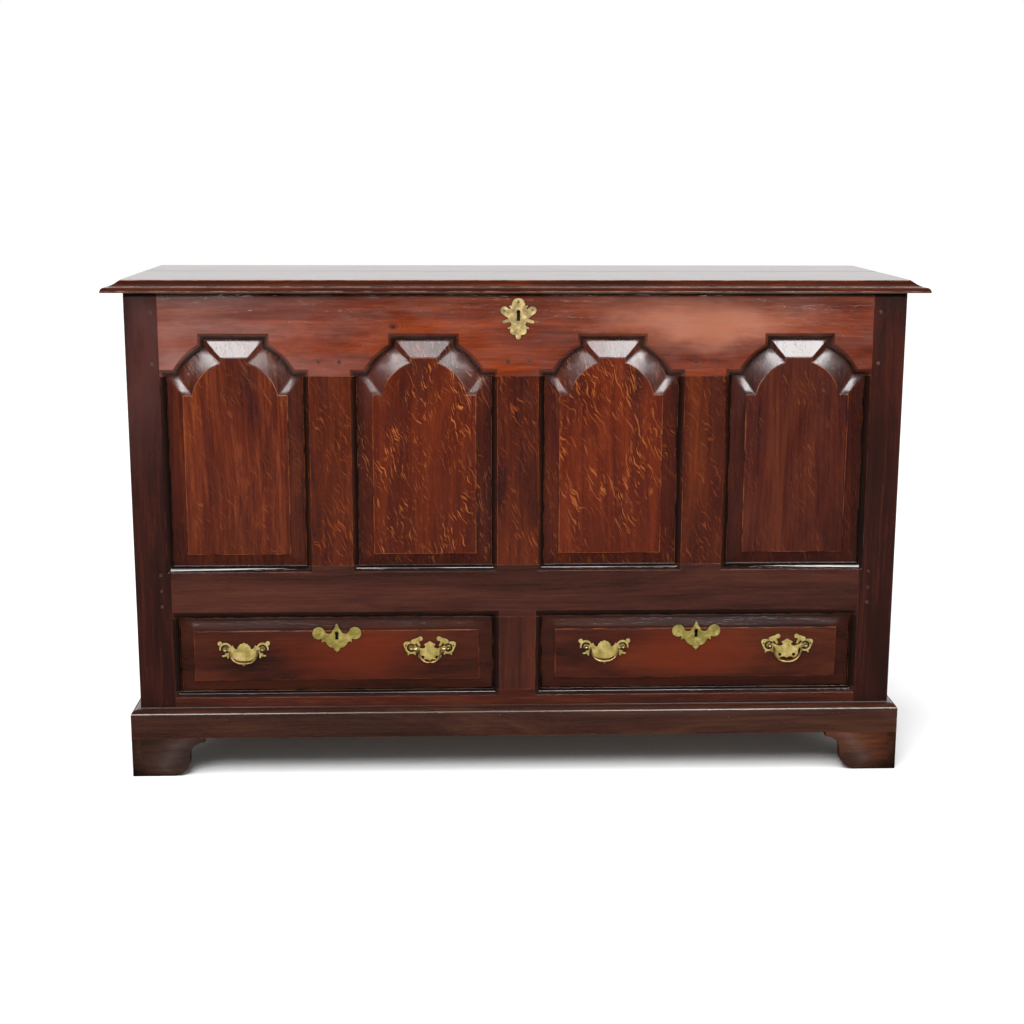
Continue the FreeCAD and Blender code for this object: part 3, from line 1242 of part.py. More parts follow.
# ---------------------------------------------------------------- handles
def handle_post(hand):
    """A post with a ball head, bored from its inner side for the bail, and its nut behind the front."""
    x = hand * BAIL_SPACING / 2.0
    nut_y = FRONT + DRAWER_FRONT_BACK
    end_y = nut_y + POST_NUT_THICKNESS + POST_END_PROUD

    def along(radius, y0, y1):
        return rod(radius, Vector(x, y0, HANDLE_Z), Vector(x, y1, HANDLE_Z))

    ball = Part.makeSphere(POST_BALL_RADIUS, Vector(x, POST_Y, HANDLE_Z))
    neck = along(POST_NECK_RADIUS, POST_Y, DRAWER_PLATE_Y)
    boss = along(POST_BOSS_RADIUS, DRAWER_PLATE_Y - POST_BOSS_THICKNESS, DRAWER_PLATE_Y)
    shank = along(POST_SHANK_RADIUS, DRAWER_PLATE_Y, end_y)
    bore_start = Vector(x - hand * (POST_BALL_RADIUS + OVERRUN), POST_Y, HANDLE_Z)
    bore_end = Vector(hand * (BAIL_PIVOT_X + BAIL_PIVOT_DEPTH + BAIL_PIVOT_END_GAP), POST_Y, HANDLE_Z)
    bore = rod(BAIL_PIVOT_RADIUS + BAIL_PIVOT_CLEARANCE, bore_start, bore_end)
    post = joined([ball, neck, boss, shank]).cut(bore)
    hole = along(POST_SHANK_RADIUS + POST_NUT_CLEARANCE, nut_y - OVERRUN, end_y + OVERRUN)
    nut = along(POST_NUT_RADIUS, nut_y, nut_y + POST_NUT_THICKNESS).cut(hole)
    return [post, nut]


def bail_stations(half, drop):
    """Places (x, z) along a bail's right half, post to bottom, each with the bail's direction there."""
    level = (-1.0, 0.0)
    stations = [((BAIL_PIVOT_X - BAIL_SHOULDER_GAP, 0.0), level), ((half + BAIL_BEND, 0.0), level)]
    for step in range(1, BAIL_BEND_STATIONS + 1):
        angle = math.radians(90.0 * step / BAIL_BEND_STATIONS)
        place = (half + BAIL_BEND * (1.0 - math.sin(angle)), -BAIL_BEND * (1.0 - math.cos(angle)))
        stations.append((place, (-math.cos(angle), -math.sin(angle))))
    depth = drop - BAIL_BEND
    for step in range(1, BAIL_LOOP_STATIONS):
        angle = math.radians(90.0 * step / BAIL_LOOP_STATIONS)
        sine, cosine = math.sin(angle), math.cos(angle)
        place = (half * cosine ** BAIL_FULLNESS, -BAIL_BEND - depth * sine)
        across = -BAIL_FULLNESS * half * cosine ** (BAIL_FULLNESS - 1.0) * sine
        stations.append((place, (across, -depth * cosine)))
    stations.append(((0.0, -drop), level))
    return stations


def bail(half, drop, pendant):
    """A hanging bail that thickens to a crescent at the bottom, with a pivot stub at each end."""
    right = bail_stations(half, drop)
    left = [((-x, z), (along, -fall)) for (x, z), (along, fall) in reversed(right[:-1])]
    stations = right + left
    rings = []
    for index, ((x, z), (along, fall)) in enumerate(stations):
        swell = math.sin(math.pi * index / (len(stations) - 1)) ** BAIL_SWELL
        radius = BAIL_END_RADIUS + (BAIL_MIDDLE_RADIUS - BAIL_END_RADIUS) * swell
        rings.append(Part.Wire(Part.makeCircle(radius, Vector(x, 0, z), Vector(along, 0, fall))))
    parts = [Part.makeLoft(rings, True, False)]
    for hand in (-1, 1):
        root = Vector(hand * (BAIL_PIVOT_X - BAIL_PIVOT_ROOT), 0, 0)
        parts.append(rod(BAIL_PIVOT_RADIUS, root, Vector(hand * (BAIL_PIVOT_X + BAIL_PIVOT_DEPTH), 0, 0)))
    if pendant:
        low = -drop - BAIL_MIDDLE_RADIUS - PENDANT_RADIUS / 4.0
        parts.append(Part.makeSphere(PENDANT_RADIUS, Vector(0, 0, low)))
    return moved(joined(parts), y=POST_Y, z=HANDLE_Z)


def handle(hand, side):
    """The plate and bail at one side of a drawer: solid and pierced plates alternate along the front."""
    if side < 0:
        return solid_backplate(), bail(PENDANT_BAIL_HALF, PENDANT_BAIL_DROP, True)
    if hand < 0:
        return pierced_backplate(), bail(NARROW_BAIL_HALF, NARROW_BAIL_DROP, False)
    return pierced_backplate(), bail(WIDE_BAIL_HALF, WIDE_BAIL_DROP, False)


# ---------------------------------------------------------------- drawers
def tails(x0, x1, root_y, tip_y):
    """Dovetails of a drawer side, narrow at the root and wide at the tip."""
    pitch = (DRAWER_SIDE_HIGH - DRAWER_LOW) / DOVETAIL_COUNT
    found = []
    for index in range(DOVETAIL_COUNT):
        z = DRAWER_LOW + (index + 0.5) * pitch
        points = [
            Vector(x0, root_y, z - DOVETAIL_ROOT / 2.0),
            Vector(x0, tip_y, z - DOVETAIL_TIP / 2.0),
            Vector(x0, tip_y, z + DOVETAIL_TIP / 2.0),
            Vector(x0, root_y, z + DOVETAIL_ROOT / 2.0),
        ]
        found.append(polygon_prism(points, Vector(x1 - x0, 0, 0)))
    return found


def drawer_side(hand):
    """A drawer side with its tails at both ends."""
    x0, x1 = sorted((hand * DRAWER_HALF, hand * (DRAWER_HALF - DRAWER_SIDE_THICKNESS)))
    front_y = FRONT + DRAWER_FRONT_BACK
    rear_y = DRAWER_REAR - DRAWER_BACK_THICKNESS
    board = box(x0, x1, front_y, rear_y, DRAWER_LOW, DRAWER_SIDE_HIGH)
    front_tails = tails(x0, x1, front_y, FRONT + DRAWER_EDGE_DEPTH + DOVETAIL_LAP)
    rear_tails = tails(x0, x1, rear_y, DRAWER_REAR)
    return joined([board] + front_tails + rear_tails)


def drawer_front_blank():
    """The drawer front with its raised field."""
    edge_depth = FRONT + DRAWER_EDGE_DEPTH
    back = FRONT + DRAWER_FRONT_BACK
    body = box(-DRAWER_HALF, DRAWER_HALF, edge_depth, back, DRAWER_FRONT_LOW, DRAWER_FRONT_HIGH)
    field = (
        -DRAWER_HALF + DRAWER_FIELD_MARGIN, DRAWER_HALF - DRAWER_FIELD_MARGIN,
        DRAWER_FRONT_LOW + DRAWER_FIELD_LOW_MARGIN, DRAWER_FRONT_HIGH - DRAWER_FIELD_MARGIN,
    )
    foot = (-DRAWER_HALF, DRAWER_HALF, DRAWER_FRONT_LOW, DRAWER_FRONT_HIGH)
    wires = [rectangle(*foot, edge_depth)]
    wires += [rectangle(*field, FRONT + depth) for depth in (FIELD_DEPTH + FIELD_STEP, FIELD_DEPTH)]
    return joined([body, ruled_solid(wires)])


def drawer_bottom():
    """The thin bottom board in its grooves."""
    low = DRAWER_LOW + DRAWER_BOTTOM_RISE
    half = DRAWER_HALF - DRAWER_SIDE_THICKNESS + DRAWER_BOTTOM_GROOVE
    y0 = FRONT + DRAWER_FRONT_BACK - DRAWER_BOTTOM_GROOVE
    return box(-half, half, y0, DRAWER_REAR, low, low + DRAWER_BOTTOM_THICKNESS)


def drawer(hand, name):
    """One drawer's pieces by node name, carried to its opening."""
    sides = [drawer_side(-1), drawer_side(1)]
    bottom = drawer_bottom()
    front = drawer_front_blank()
    holes = [
        moved(hole, offset, FRONT + FIELD_DEPTH, HANDLE_Z)
        for hole in post_holes(DRAWER_FRONT_BACK)
        for offset in (-HANDLE_OFFSET, HANDLE_OFFSET)
    ]
    key_way = drawer_keyhole(FRONT - OVERRUN, FRONT + DRAWER_LOCK_FRONT + OVERRUN)
    pin_holes = escutcheon_pin_holes(drawer_escutcheon_pins(0.0), FIELD_DEPTH)
    front = front.cut(sides + [bottom, drawer_lock_blank(), key_way] + holes + pin_holes)
    low = DRAWER_LOW + DRAWER_BOTTOM_RISE + DRAWER_BOTTOM_THICKNESS
    back_y = DRAWER_REAR - DRAWER_BACK_THICKNESS
    back = box(-DRAWER_HALF, DRAWER_HALF, back_y, DRAWER_REAR, low, DRAWER_SIDE_HIGH).cut(sides)
    sides = [side.cut(bottom) for side in sides]
    lock_key_way = drawer_keyhole(FRONT - OVERRUN, FRONT + DRAWER_FRONT_BACK, LOCK_KEY_CLEARANCE)
    case = drawer_lock_blank().cut([drawer_bolt_blank(LOCK_CLEARANCE, OVERRUN), lock_key_way])
    pieces = {
        "front": [front],
        "sides": sides,
        "back": [back],
        "bottom": [bottom],
        "lock": [case],
        "lock_bolt": [drawer_bolt_blank()],
        "escutcheon": drawer_escutcheon(),
        "backplates": [],
        "handle_posts": [],
    }
    for side_name, side in (("left", -1), ("right", 1)):
        plate, loop = handle(hand, side)
        offset = side * HANDLE_OFFSET
        pieces["backplates"].append(moved(plate, offset, DRAWER_PLATE_Y, HANDLE_Z))
        pieces["handle_posts"] += [moved(piece, offset) for end in (-1, 1) for piece in handle_post(end)]
        pieces[f"bail_{side_name}"] = [moved(loop, offset)]
    return {
        f"drawer_{name}_{piece}": [moved(shape, hand * DRAWER_X) for shape in shapes]
        for piece, shapes in pieces.items()
    }


# ---------------------------------------------------------------- the whole chest
def chest():
    """Every node's solids, by name."""
    front_board, rear_board = lid_boards()
    nodes = carcass()
    nodes.update(plinth())
    nodes.update(feet())
    nodes.update(hinges())
    nodes.update({
        "lid_board_front": [front_board],
        "lid_board_rear": [rear_board],
        "lid_battens": lid_battens(),
        "chest_lock": chest_lock(),
        "chest_lock_bolt": chest_lock_bolt(),
        "chest_lock_staple": chest_lock_staple(),
        "chest_escutcheon": chest_escutcheon(),
    })
    for hand, name in ((-1, "left"), (1, "right")):
        nodes.update(drawer(hand, name))
    return nodes


def main():
    os.makedirs("parts", exist_ok=True)
    for name, shapes in chest().items():
        solids = [solid for shape in shapes for solid in shape.Solids]
        shape = solids[0] if len(solids) == 1 else Part.makeCompound(solids)
        shape.exportStep(f"parts/{name}.step")
        print(f"{name}: {len(solids)} solids, {shape.Volume / 1000.0:.1f} cm3, valid {shape.isValid()}")


if __name__ == "__main__":
    main()
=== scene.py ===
"""Looks of the mule chest: old polished oak, dirty brass, black iron, and the studio round it."""

import json
import logging
import math
from dataclasses import dataclass, field, replace
from enum import Enum
from typing import Any, Optional

import bpy
from mathutils import Matrix, Vector
from mathutils.bvhtree import BVHTree

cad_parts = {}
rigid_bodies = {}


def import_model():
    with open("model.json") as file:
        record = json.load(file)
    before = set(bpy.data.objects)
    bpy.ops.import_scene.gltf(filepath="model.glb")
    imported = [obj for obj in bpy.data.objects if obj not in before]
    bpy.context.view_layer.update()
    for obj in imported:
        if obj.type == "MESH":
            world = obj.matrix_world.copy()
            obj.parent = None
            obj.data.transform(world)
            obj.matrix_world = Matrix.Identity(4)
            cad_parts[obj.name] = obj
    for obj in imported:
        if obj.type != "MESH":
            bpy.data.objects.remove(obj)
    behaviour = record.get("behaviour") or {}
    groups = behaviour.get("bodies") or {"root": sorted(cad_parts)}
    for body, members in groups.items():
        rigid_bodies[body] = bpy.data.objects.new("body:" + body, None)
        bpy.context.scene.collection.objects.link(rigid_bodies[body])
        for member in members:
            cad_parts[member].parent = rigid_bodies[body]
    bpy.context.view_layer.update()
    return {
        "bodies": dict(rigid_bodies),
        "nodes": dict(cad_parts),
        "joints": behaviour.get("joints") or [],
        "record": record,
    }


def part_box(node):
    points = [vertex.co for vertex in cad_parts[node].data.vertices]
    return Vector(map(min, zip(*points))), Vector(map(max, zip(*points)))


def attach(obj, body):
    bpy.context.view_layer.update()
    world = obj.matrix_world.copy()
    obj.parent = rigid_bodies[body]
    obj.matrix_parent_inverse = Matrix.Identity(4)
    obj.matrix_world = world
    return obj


LOG = logging.getLogger("mule_chest")
Socket = Any
Triple = tuple[float, float, float]
Tones = tuple[str, str, str]
Nail = tuple[Vector, Vector, float]

# Places in metres: the frame's front, its top under the lid, the ends' outer faces, how far in the rear
# posts are polished, and the seam between the lid's boards.
FACE_Y = -0.207
LIP_Z = 0.917
OUTER_X = 0.7135
POLISHED_X = 0.69
SEAM_Y = 0.048

# Heights of the rails, heights of the low panels, and the part of the rails between the rear posts.
RAIL_BANDS = ((0.0747, 0.1615), (0.305, 0.406), (0.829, 0.917))
LOW_PANEL_BAND = ((0.15, 0.32),)
RAIL_HALF_WIDTH = 0.637

# Widths in metres: a step that the eye can't see, the painted shadow under the lid, the open seam, and how
# far the painted shade and soiling reach in the corners and on the brass.
HAIR = 0.0004
LID_SHADOW_FADES, LID_SHADOW_FULL = 0.011, 0.006
SEAM_OPEN, SEAM_CLOSED = 0.001, 0.003
CORNER_DIRT_AND_SHADE, BRASS_DIRT_AND_SHADE = 0.02, 0.005

# Ways that a hidden face turns.
INWARD = BACKWARD = (0.0, 1.0, 0.0)
DOWNWARD = (0.0, 0.0, -1.0)

# Oak's patches to the metre, across, through and along the board.
DRIFT = (5.0, 5.0, 1.6)
RINGS = (15.0, 15.0, 2.2)
STREAKS = (170.0, 170.0, 5.5)
FIBRES = (700.0, 700.0, 30.0)
PORES = (1250.0, 1250.0, 55.0)
DARK_PATCHES = (8.0, 8.0, 2.6)
RAY_BEND = (30.0, 8.0, 16.0)
RAYS = (400.0, 44.0, 36.0)
SMALL_RAYS = (560.0, 70.0, 80.0)
RAY_AREAS = (17.0, 6.0, 7.0)
HAZE = (30.0, 30.0, 12.0)
DRY_STREAKS = (60.0, 60.0, 3.0)

# Nail heads: rise and flat top as shares of the radius, how far a seat is looked for, how deep it lies.
HEAD_FACETS, HEAD_RISE, HEAD_FLAT = 7, 0.45, 0.3
NAIL_SEARCH, NAIL_SUNK = 0.08, 0.0001
JOIN_WITHIN = 4e-6

# Tones of boards that are finished alike.
END_TONES = ("#250f0a", "#38170f", "#502618")
BACK_TONES = ("#38281c", "#52402e", "#705a46")

CAMERA_AT = Vector((-0.1271, -3.2528, 1.1426))
CAMERA_TURN = (-0.0382, -0.20539, -0.00299)
CAMERA_LENS = 58.54
SENSOR_WIDTH = 36.0
VIEW_DEPTH = 60.0
FLOOR_REACH = 14.0
MIRRORED_FLOOR = (0.03, 0.03, 0.03, 1.0)


class Grain(Enum):
    """The direction in which a board's fibres run: the axes across, through and along it."""

    X = (1, 2, 0)
    Y = (0, 2, 1)
    Z = (0, 1, 2)
    END_Y = (2, 0, 1)
    END_Z = (1, 0, 2)


def linear(code: str) -> tuple[float, float, float, float]:
    """Turn an sRGB hex colour into linear light.

    Args:
        code: Six hex digits after a hash.

    Returns:
        Red, green, blue and an alpha of 1.
    """
    parts = [int(code[i:i + 2], 16) / 255.0 for i in (1, 3, 5)]
    light = [c / 12.92 if c <= 0.04045 else ((c + 0.055) / 1.055) ** 2.4 for c in parts]
    return light[0], light[1], light[2], 1.0


def add(tree: bpy.types.NodeTree, kind: str, links: Optional[dict[Any, Any]] = None, **settings: Any) -> Any:
    """Add one node with its settings, its values and its links.

    Args:
        tree: The node tree that gets the node.
        kind: The node's type name, without the leading "ShaderNode" for a shader tree.
        links: Input name or number, to the socket or the value that feeds it.
        **settings: Properties of the node.

    Returns:
        The node.
    """
    prefix = "ShaderNode" if tree.bl_idname == "ShaderNodeTree" else ""
    node = tree.nodes.new(prefix + kind)
    for name, value in settings.items():
        setattr(node, name, value)
    for name, value in (links or {}).items():
        if isinstance(value, bpy.types.NodeSocket):
            tree.links.new(value, node.inputs[name])
        else:
            node.inputs[name].default_value = value
    return node


def put(name: str, data: Any) -> bpy.types.Object:
    """Make an object and place it in the scene.

    Args:
        name: The object's name.
        data: Its mesh, light or camera.

    Returns:
        The object.
    """
    piece = bpy.data.objects.new(name, data)
    bpy.context.scene.collection.objects.link(piece)
    return piece


class Sheet:
    """A shader tree with short ways to write the steps that every finish repeats."""

    def __init__(self, name: str) -> None:
        """Start a material that holds only its coordinates.

        Args:
            name: The material's name.
        """
        self.material = bpy.data.materials.new(name)
        self.material.use_nodes = True
        self.tree = self.material.node_tree
        self.tree.nodes.clear()
        self.coordinates = add(self.tree, "TexCoord").outputs
        self.place = self.coordinates["Object"]

    def math(self, operation: str, a: Any, b: Any = 0.0, c: Any = 0.0, clamp: bool = False) -> Socket:
        """Add one step of arithmetic.

        Args:
            operation: What the step does.
            a: First value or socket.
            b: Second value or socket.
            c: Third value or socket.
            clamp: Whether the result is kept from 0 to 1.

        Returns:
            The result's socket.
        """
        return add(self.tree, "Math", {0: a, 1: b, 2: c}, operation=operation, use_clamp=clamp).outputs[0]

    def times(self, a: Any, b: Any, plus: Any = None, clamp: bool = False) -> Socket:
        """Multiply two values, and add a third if there is one.

        Args:
            a: First value or socket.
            b: Second value or socket.
            plus: The third value or socket.
            clamp: Whether the result is kept from 0 to 1.

        Returns:
            The result's socket.
        """
        if plus is None:
            return self.math("MULTIPLY", a, b)
        return self.math("MULTIPLY_ADD", a, b, plus, clamp)

    def vector(self, operation: str, a: Any, b: Any = (0.0, 0.0, 0.0)) -> Socket:
        """Add one step of arithmetic on vectors.

        Args:
            operation: What the step does.
            a: First vector or socket.
            b: Second vector or socket.

        Returns:
            The result's socket, which is a plain value for a length or a dot product.
        """
        node = add(self.tree, "VectorMath", {0: a, 1: b}, operation=operation)
        return node.outputs["Value" if operation in ("LENGTH", "DOT_PRODUCT") else "Vector"]

    def span(self, value: Socket, low: float, high: float, out_low: float = 0.0,
             out_high: float = 1.0) -> Socket:
        """Map a value smoothly from one span to another, held at both ends.

        Args:
            value: The value's socket.
            low: Where the span starts.
            high: Where the span ends.
            out_low: The result at the start.
            out_high: The result at the end.

        Returns:
            The result's socket.
        """
        links = {"Value": value, "From Min": low, "From Max": high, "To Min": out_low, "To Max": out_high}
        return add(self.tree, "MapRange", links, interpolation_type="SMOOTHSTEP").outputs["Result"]

    def noise(self, vector: Socket, scale: Triple, detail: float = 3.0, roughness: float = 0.55,
              distortion: float = 0.0) -> Socket:
        """Add noise that is stretched along the board.

        Args:
            vector: Coordinates in metres.
            scale: Patches to the metre along each axis.
            detail: Finer layers of the noise.
            roughness: How strong the finer layers are.
            distortion: How far the noise bends itself.

        Returns:
            The noise from 0 to 1.
        """
        placed = add(self.tree, "Mapping", {"Vector": vector, "Scale": scale}).outputs["Vector"]
        links = {"Vector": placed, "Scale": 1.0, "Detail": detail, "Roughness": roughness,
                 "Distortion": distortion}
        return add(self.tree, "TexNoise", links, noise_dimensions="3D").outputs["Fac"]

    def blend(self, amount: Any, first: Any, second: Any, kind: str = "MIX") -> Socket:
        """Mix two colours.

        Args:
            amount: Share of the second colour.
            first: Hex colour, linear colour or socket.
            second: Hex colour, linear colour or socket.
            kind: Way of mixing.

        Returns:
            The mixed colour's socket.
        """
        first, second = (linear(tone) if isinstance(tone, str) else tone for tone in (first, second))
        links = {0: amount, 6: first, 7: second}
        return add(self.tree, "Mix", links, data_type="RGBA", blend_type=kind).outputs[2]

    def ramp(self, value: Socket, stops: list[tuple[float, str]]) -> Socket:
        """Colour a value.

        Args:
            value: From 0 to 1.
            stops: Places and sRGB hex colours.

        Returns:
            The colour's socket.
        """
        node = add(self.tree, "ValToRGB", {"Fac": value})
        points = node.color_ramp.elements
        while len(points) < len(stops):
            points.new(0.5)
        for point, (place, code) in zip(points, stops):
            point.position = place
            point.color = linear(code)
        return node.outputs["Color"]

    def rim(self, radius: float) -> tuple[Socket, Socket]:
        """Find the sharp edges, which hands and cloths have rounded.

        Args:
            radius: Width of the rounding in metres.

        Returns:
            The rounded normal, and how far it departs from the face, from 0 to 1.
        """
        rounded = add(self.tree, "Bevel", {"Radius": radius}, samples=4).outputs["Normal"]
        face = add(self.tree, "NewGeometry").outputs["Normal"]
        dot = self.vector("DOT_PRODUCT", rounded, face)
        return rounded, self.span(self.math("SUBTRACT", 1.0, dot), 0.01, 0.2)

    def close(self, inputs: dict[str, Any]) -> bpy.types.Material:
        """Send the shader to the output.

        Args:
            inputs: What feeds the shader, by the name of its input.

        Returns:
            The finished material.
        """
        shader = add(self.tree, "BsdfPrincipled", inputs)
        add(self.tree, "OutputMaterial", {"Surface": shader.outputs[0]})
        return self.material


class OakSheet(Sheet):
    """An oak material being built, with its board's coordinates, its colour and its height so far."""

    def __init__(self, name: str) -> None:
        """Start an oak material.

        Args:
            name: The material's name.
        """
        super().__init__(name)
        self.parts = add(self.tree, "SeparateXYZ", {0: self.place}).outputs
        self.board = self.colour = self.height = None

    def tint(self, amount: Any, tone: Any) -> None:
        """Lay a tone over the colour so far.

        Args:
            amount: Share of the tone.
            tone: Hex colour or socket.
        """
        self.colour = self.blend(amount, self.colour, tone)

    def away(self, x: float, z: float, scale: Triple) -> Socket:
        """Measure how far a point lies from a place on the front.

        Args:
            x: The place across the front, in metres.
            z: Its height, in metres.
            scale: What each axis is multiplied by.

        Returns:
            The scaled distance.
        """
        return self.vector("LENGTH", self.vector("MULTIPLY", self.vector(
            "SUBTRACT", self.place, (x, 0.0, z)), scale))


@dataclass(frozen=True)
class Crosswise:
    """Where in a node the boards run another way, by distance along one axis, in metres."""

    grain: Grain
    axis: str
    bands: tuple[tuple[float, float], ...]
    half_width: float = 1.0

    def share(self, oak: OakSheet) -> Socket:
        """Find which points lie in a crosswise board.

        Args:
            oak: The material so far.

        Returns:
            1 in those boards and 0 elsewhere.
        """
        along = oak.math("ABSOLUTE", oak.parts[self.axis])
        total = None
        for low, high in self.bands:
            off = oak.math("ABSOLUTE", oak.math("SUBTRACT", along, (low + high) / 2.0))
            inside = oak.math("LESS_THAN", off, (high - low) / 2.0)
            total = inside if total is None else oak.math("MAXIMUM", total, inside)
        near = oak.math("LESS_THAN", oak.math("ABSOLUTE", oak.parts["X"]), self.half_width)
        return oak.times(total, near)


@dataclass(frozen=True)
class OakFinish:
    """Oak, hand-planed, stained by age and waxed to a gloss; the eye reads streaks, flecks and worn edges.

    Colours run from the darkest streak to the lightest. flecks is how strong the medullary rays are, slant
    how far they lean from the grain in degrees, bloom how much pale painted sheen lies on the surface. sweep
    is an axis and where a change of tone starts and ends, glow a centre, a half width, a half height and a
    tone, knot a centre and a radius. recess paints shade on what lies behind a plane, lip paints the shadow
    that the lid casts on the top under it, and seam opens a crack between two boards. hidden is the way
    that the bare side faces, polished_beyond how far from the middle the bare wood ends, and dry its tones.
    """

    name: str
    grain: Grain
    tones: Tones
    flecks: float = 0.0
    fleck_tone: str = "#c87a2c"
    slant: float = -24.0
    streaks: float = 0.35
    pores: float = 0.55
    bloom: float = 0.0
    sheen_tone: str = "#a08884"
    gloss: float = 0.14
    smear: float = 0.1
    specular: float = 0.5
    bump: float = 0.2
    wear: float = 0.6
    wear_tone: str = "#a3521e"
    edge_radius: float = 0.0012
    recess_from: Optional[float] = None
    recess_depth: float = 0.008
    recess_shade_tone: str = "#0e0705"
    recess: float = 0.93
    recess_rough: float = -0.08
    sweep: tuple[str, float, float] = ("X", 0.0, 0.0)
    sweep_tone: str = "#6b2a10"
    sweep_amount: float = 0.0
    seed: float = 0.0
    knot: Optional[Triple] = None
    glow: Optional[tuple[float, float, float, float, str]] = None
    lip: Optional[float] = None
    seam: Optional[float] = None
    crosswise: Optional[Crosswise] = None
    hidden: Optional[Triple] = None
    polished_beyond: float = 0.0
    dry: Tones = ("#4e3824", "#705438", "#8e6e4c")

    def material(self) -> bpy.types.Material:
        """Build the node material.

        Returns:
            The material.
        """
        oak = OakSheet(self.name)
        self.lay(oak)
        self.figure(oak)
        for wanted, step in ((self.flecks, self.rays), (self.sweep_amount, self.swept),
                             (self.glow, self.glowing), (self.knot, self.knotted)):
            if wanted:
                step(oak)
        return self.surface(oak)

    def lay(self, oak: OakSheet) -> None:
        """Turn Object coordinates so that the third runs along the grain, and set each board apart.

        Args:
            oak: The material so far.
        """
        tree, parts = oak.tree, oak.parts
        order = self.grain.value
        turned = add(tree, "CombineXYZ", {i: parts[axis] for i, axis in enumerate(order)}).outputs[0]
        if self.crosswise:
            order = self.crosswise.grain.value
            across = add(tree, "CombineXYZ", {i: parts[axis] for i, axis in enumerate(order)}).outputs[0]
            share = self.crosswise.share(oak)
            turned = add(tree, "Mix", {0: share, 4: turned, 5: across}, data_type="VECTOR").outputs[1]
        island = add(tree, "NewGeometry").outputs["Random Per Island"]
        shift = oak.times(island, 7.3, self.seed)
        moved = oak.vector("ADD", turned, add(tree, "CombineXYZ", {0: shift, 1: shift, 2: shift}).outputs[0])
        waver = add(tree, "Mapping", {"Vector": moved, "Scale": DRIFT}).outputs[0]
        drift = add(tree, "TexNoise", {"Vector": waver, "Scale": 1.0, "Detail": 2.0}).outputs["Color"]
        pushed = oak.vector("MULTIPLY", oak.vector("SUBTRACT", drift, (0.5, 0.5, 0.5)), (0.05, 0.05, 0.0))
        oak.board = oak.vector("ADD", moved, pushed)

    def figure(self, oak: OakSheet) -> None:
        """Lay down the growth rings, the streaks and the open pores.

        Args:
            oak: The material so far.
        """
        broad = oak.noise(oak.board, RINGS, 4.0, 0.6, 0.9)
        streak = oak.noise(oak.board, STREAKS, 3.0, 0.6)
        fine = oak.noise(oak.board, FIBRES, 2.0, 0.6)
        mixed = oak.times(streak, self.streaks, oak.times(broad, 1.0 - self.streaks))
        mixed = oak.times(oak.math("SUBTRACT", fine, 0.5), 0.16, mixed)
        oak.colour = oak.ramp(mixed, list(zip((0.36, 0.5, 0.66), self.tones)))
        patches = oak.noise(oak.board, DARK_PATCHES, 5.0, 0.62, 1.2)
        oak.tint(oak.span(patches, 0.54, 0.74, 0.0, 0.55), self.tones[0])
        pore = oak.noise(oak.board, PORES, 1.0, 0.5)
        pits = oak.times(oak.span(pore, 0.60, 0.70), oak.span(streak, 0.42, 0.62))
        oak.tint(oak.times(pits, self.pores), "#120805")
        oak.height = oak.times(pits, -0.5, oak.times(streak, 0.25))

    def rays(self, oak: OakSheet) -> None:
        """Add the medullary rays, the bright slanting flakes of quarter-sawn oak.

        Args:
            oak: The material so far.
        """
        lean = (0.0, math.radians(-self.slant), 0.0)
        leant = add(oak.tree, "Mapping", {"Vector": oak.board, "Rotation": lean}).outputs[0]
        bend = oak.times(oak.noise(oak.board, RAY_BEND, 2.0), 0.034, -0.017)
        hooked = oak.vector("ADD", leant, add(oak.tree, "CombineXYZ", {0: bend}).outputs[0])
        large = oak.span(oak.noise(hooked, RAYS, 1.0, 0.4), 0.62, 0.68)
        small = oak.span(oak.noise(hooked, SMALL_RAYS, 1.0, 0.4), 0.63, 0.71, 0.0, 0.45)
        area = oak.span(oak.noise(oak.board, RAY_AREAS, 2.0), 0.40, 0.60, 0.1, 1.0)
        flakes = oak.times(oak.math("MAXIMUM", large, small), area)
        oak.tint(oak.times(flakes, self.flecks), self.fleck_tone)
        oak.height = oak.times(flakes, 0.35, oak.height)

    def swept(self, oak: OakSheet) -> None:
        """Change the colour slowly from one side of the piece to the other.

        Args:
            oak: The material so far.
        """
        axis, low, high = self.sweep
        ragged = oak.math("SUBTRACT", oak.noise(oak.board, (16.0, 16.0, 6.0), 3.0), 0.5)
        moved = oak.times(ragged, abs(high - low) * 0.7, oak.parts[axis])
        share = oak.span(moved, min(low, high), max(low, high), float(low >= high), float(low < high))
        patches = oak.span(oak.noise(oak.board, (18.0, 18.0, 4.0), 4.0, 0.6), 0.38, 0.62, 0.3, 1.0)
        share = oak.times(share, patches)
        tone = oak.blend(0.65, oak.colour, self.sweep_tone)
        oak.tint(oak.times(share, self.sweep_amount), tone)

    def glowing(self, oak: OakSheet) -> None:
        """Warm and lighten a ragged oval patch of a board; on the top rail it is a painted sheen.

        Args:
            oak: The material so far.
        """
        x, z, wide, high, tone = self.glow
        away = oak.away(x, z, (1.0 / wide, 0.0, 1.0 / high))
        ragged = oak.times(oak.noise(oak.place, (9.0, 1.0, 22.0), 3.0), 1.2, -0.6)
        share = oak.span(oak.math("ADD", away, ragged), 0.2, 1.2, 0.6, 0.0)
        oak.tint(share, oak.blend(0.45, tone, oak.colour, "OVERLAY"))

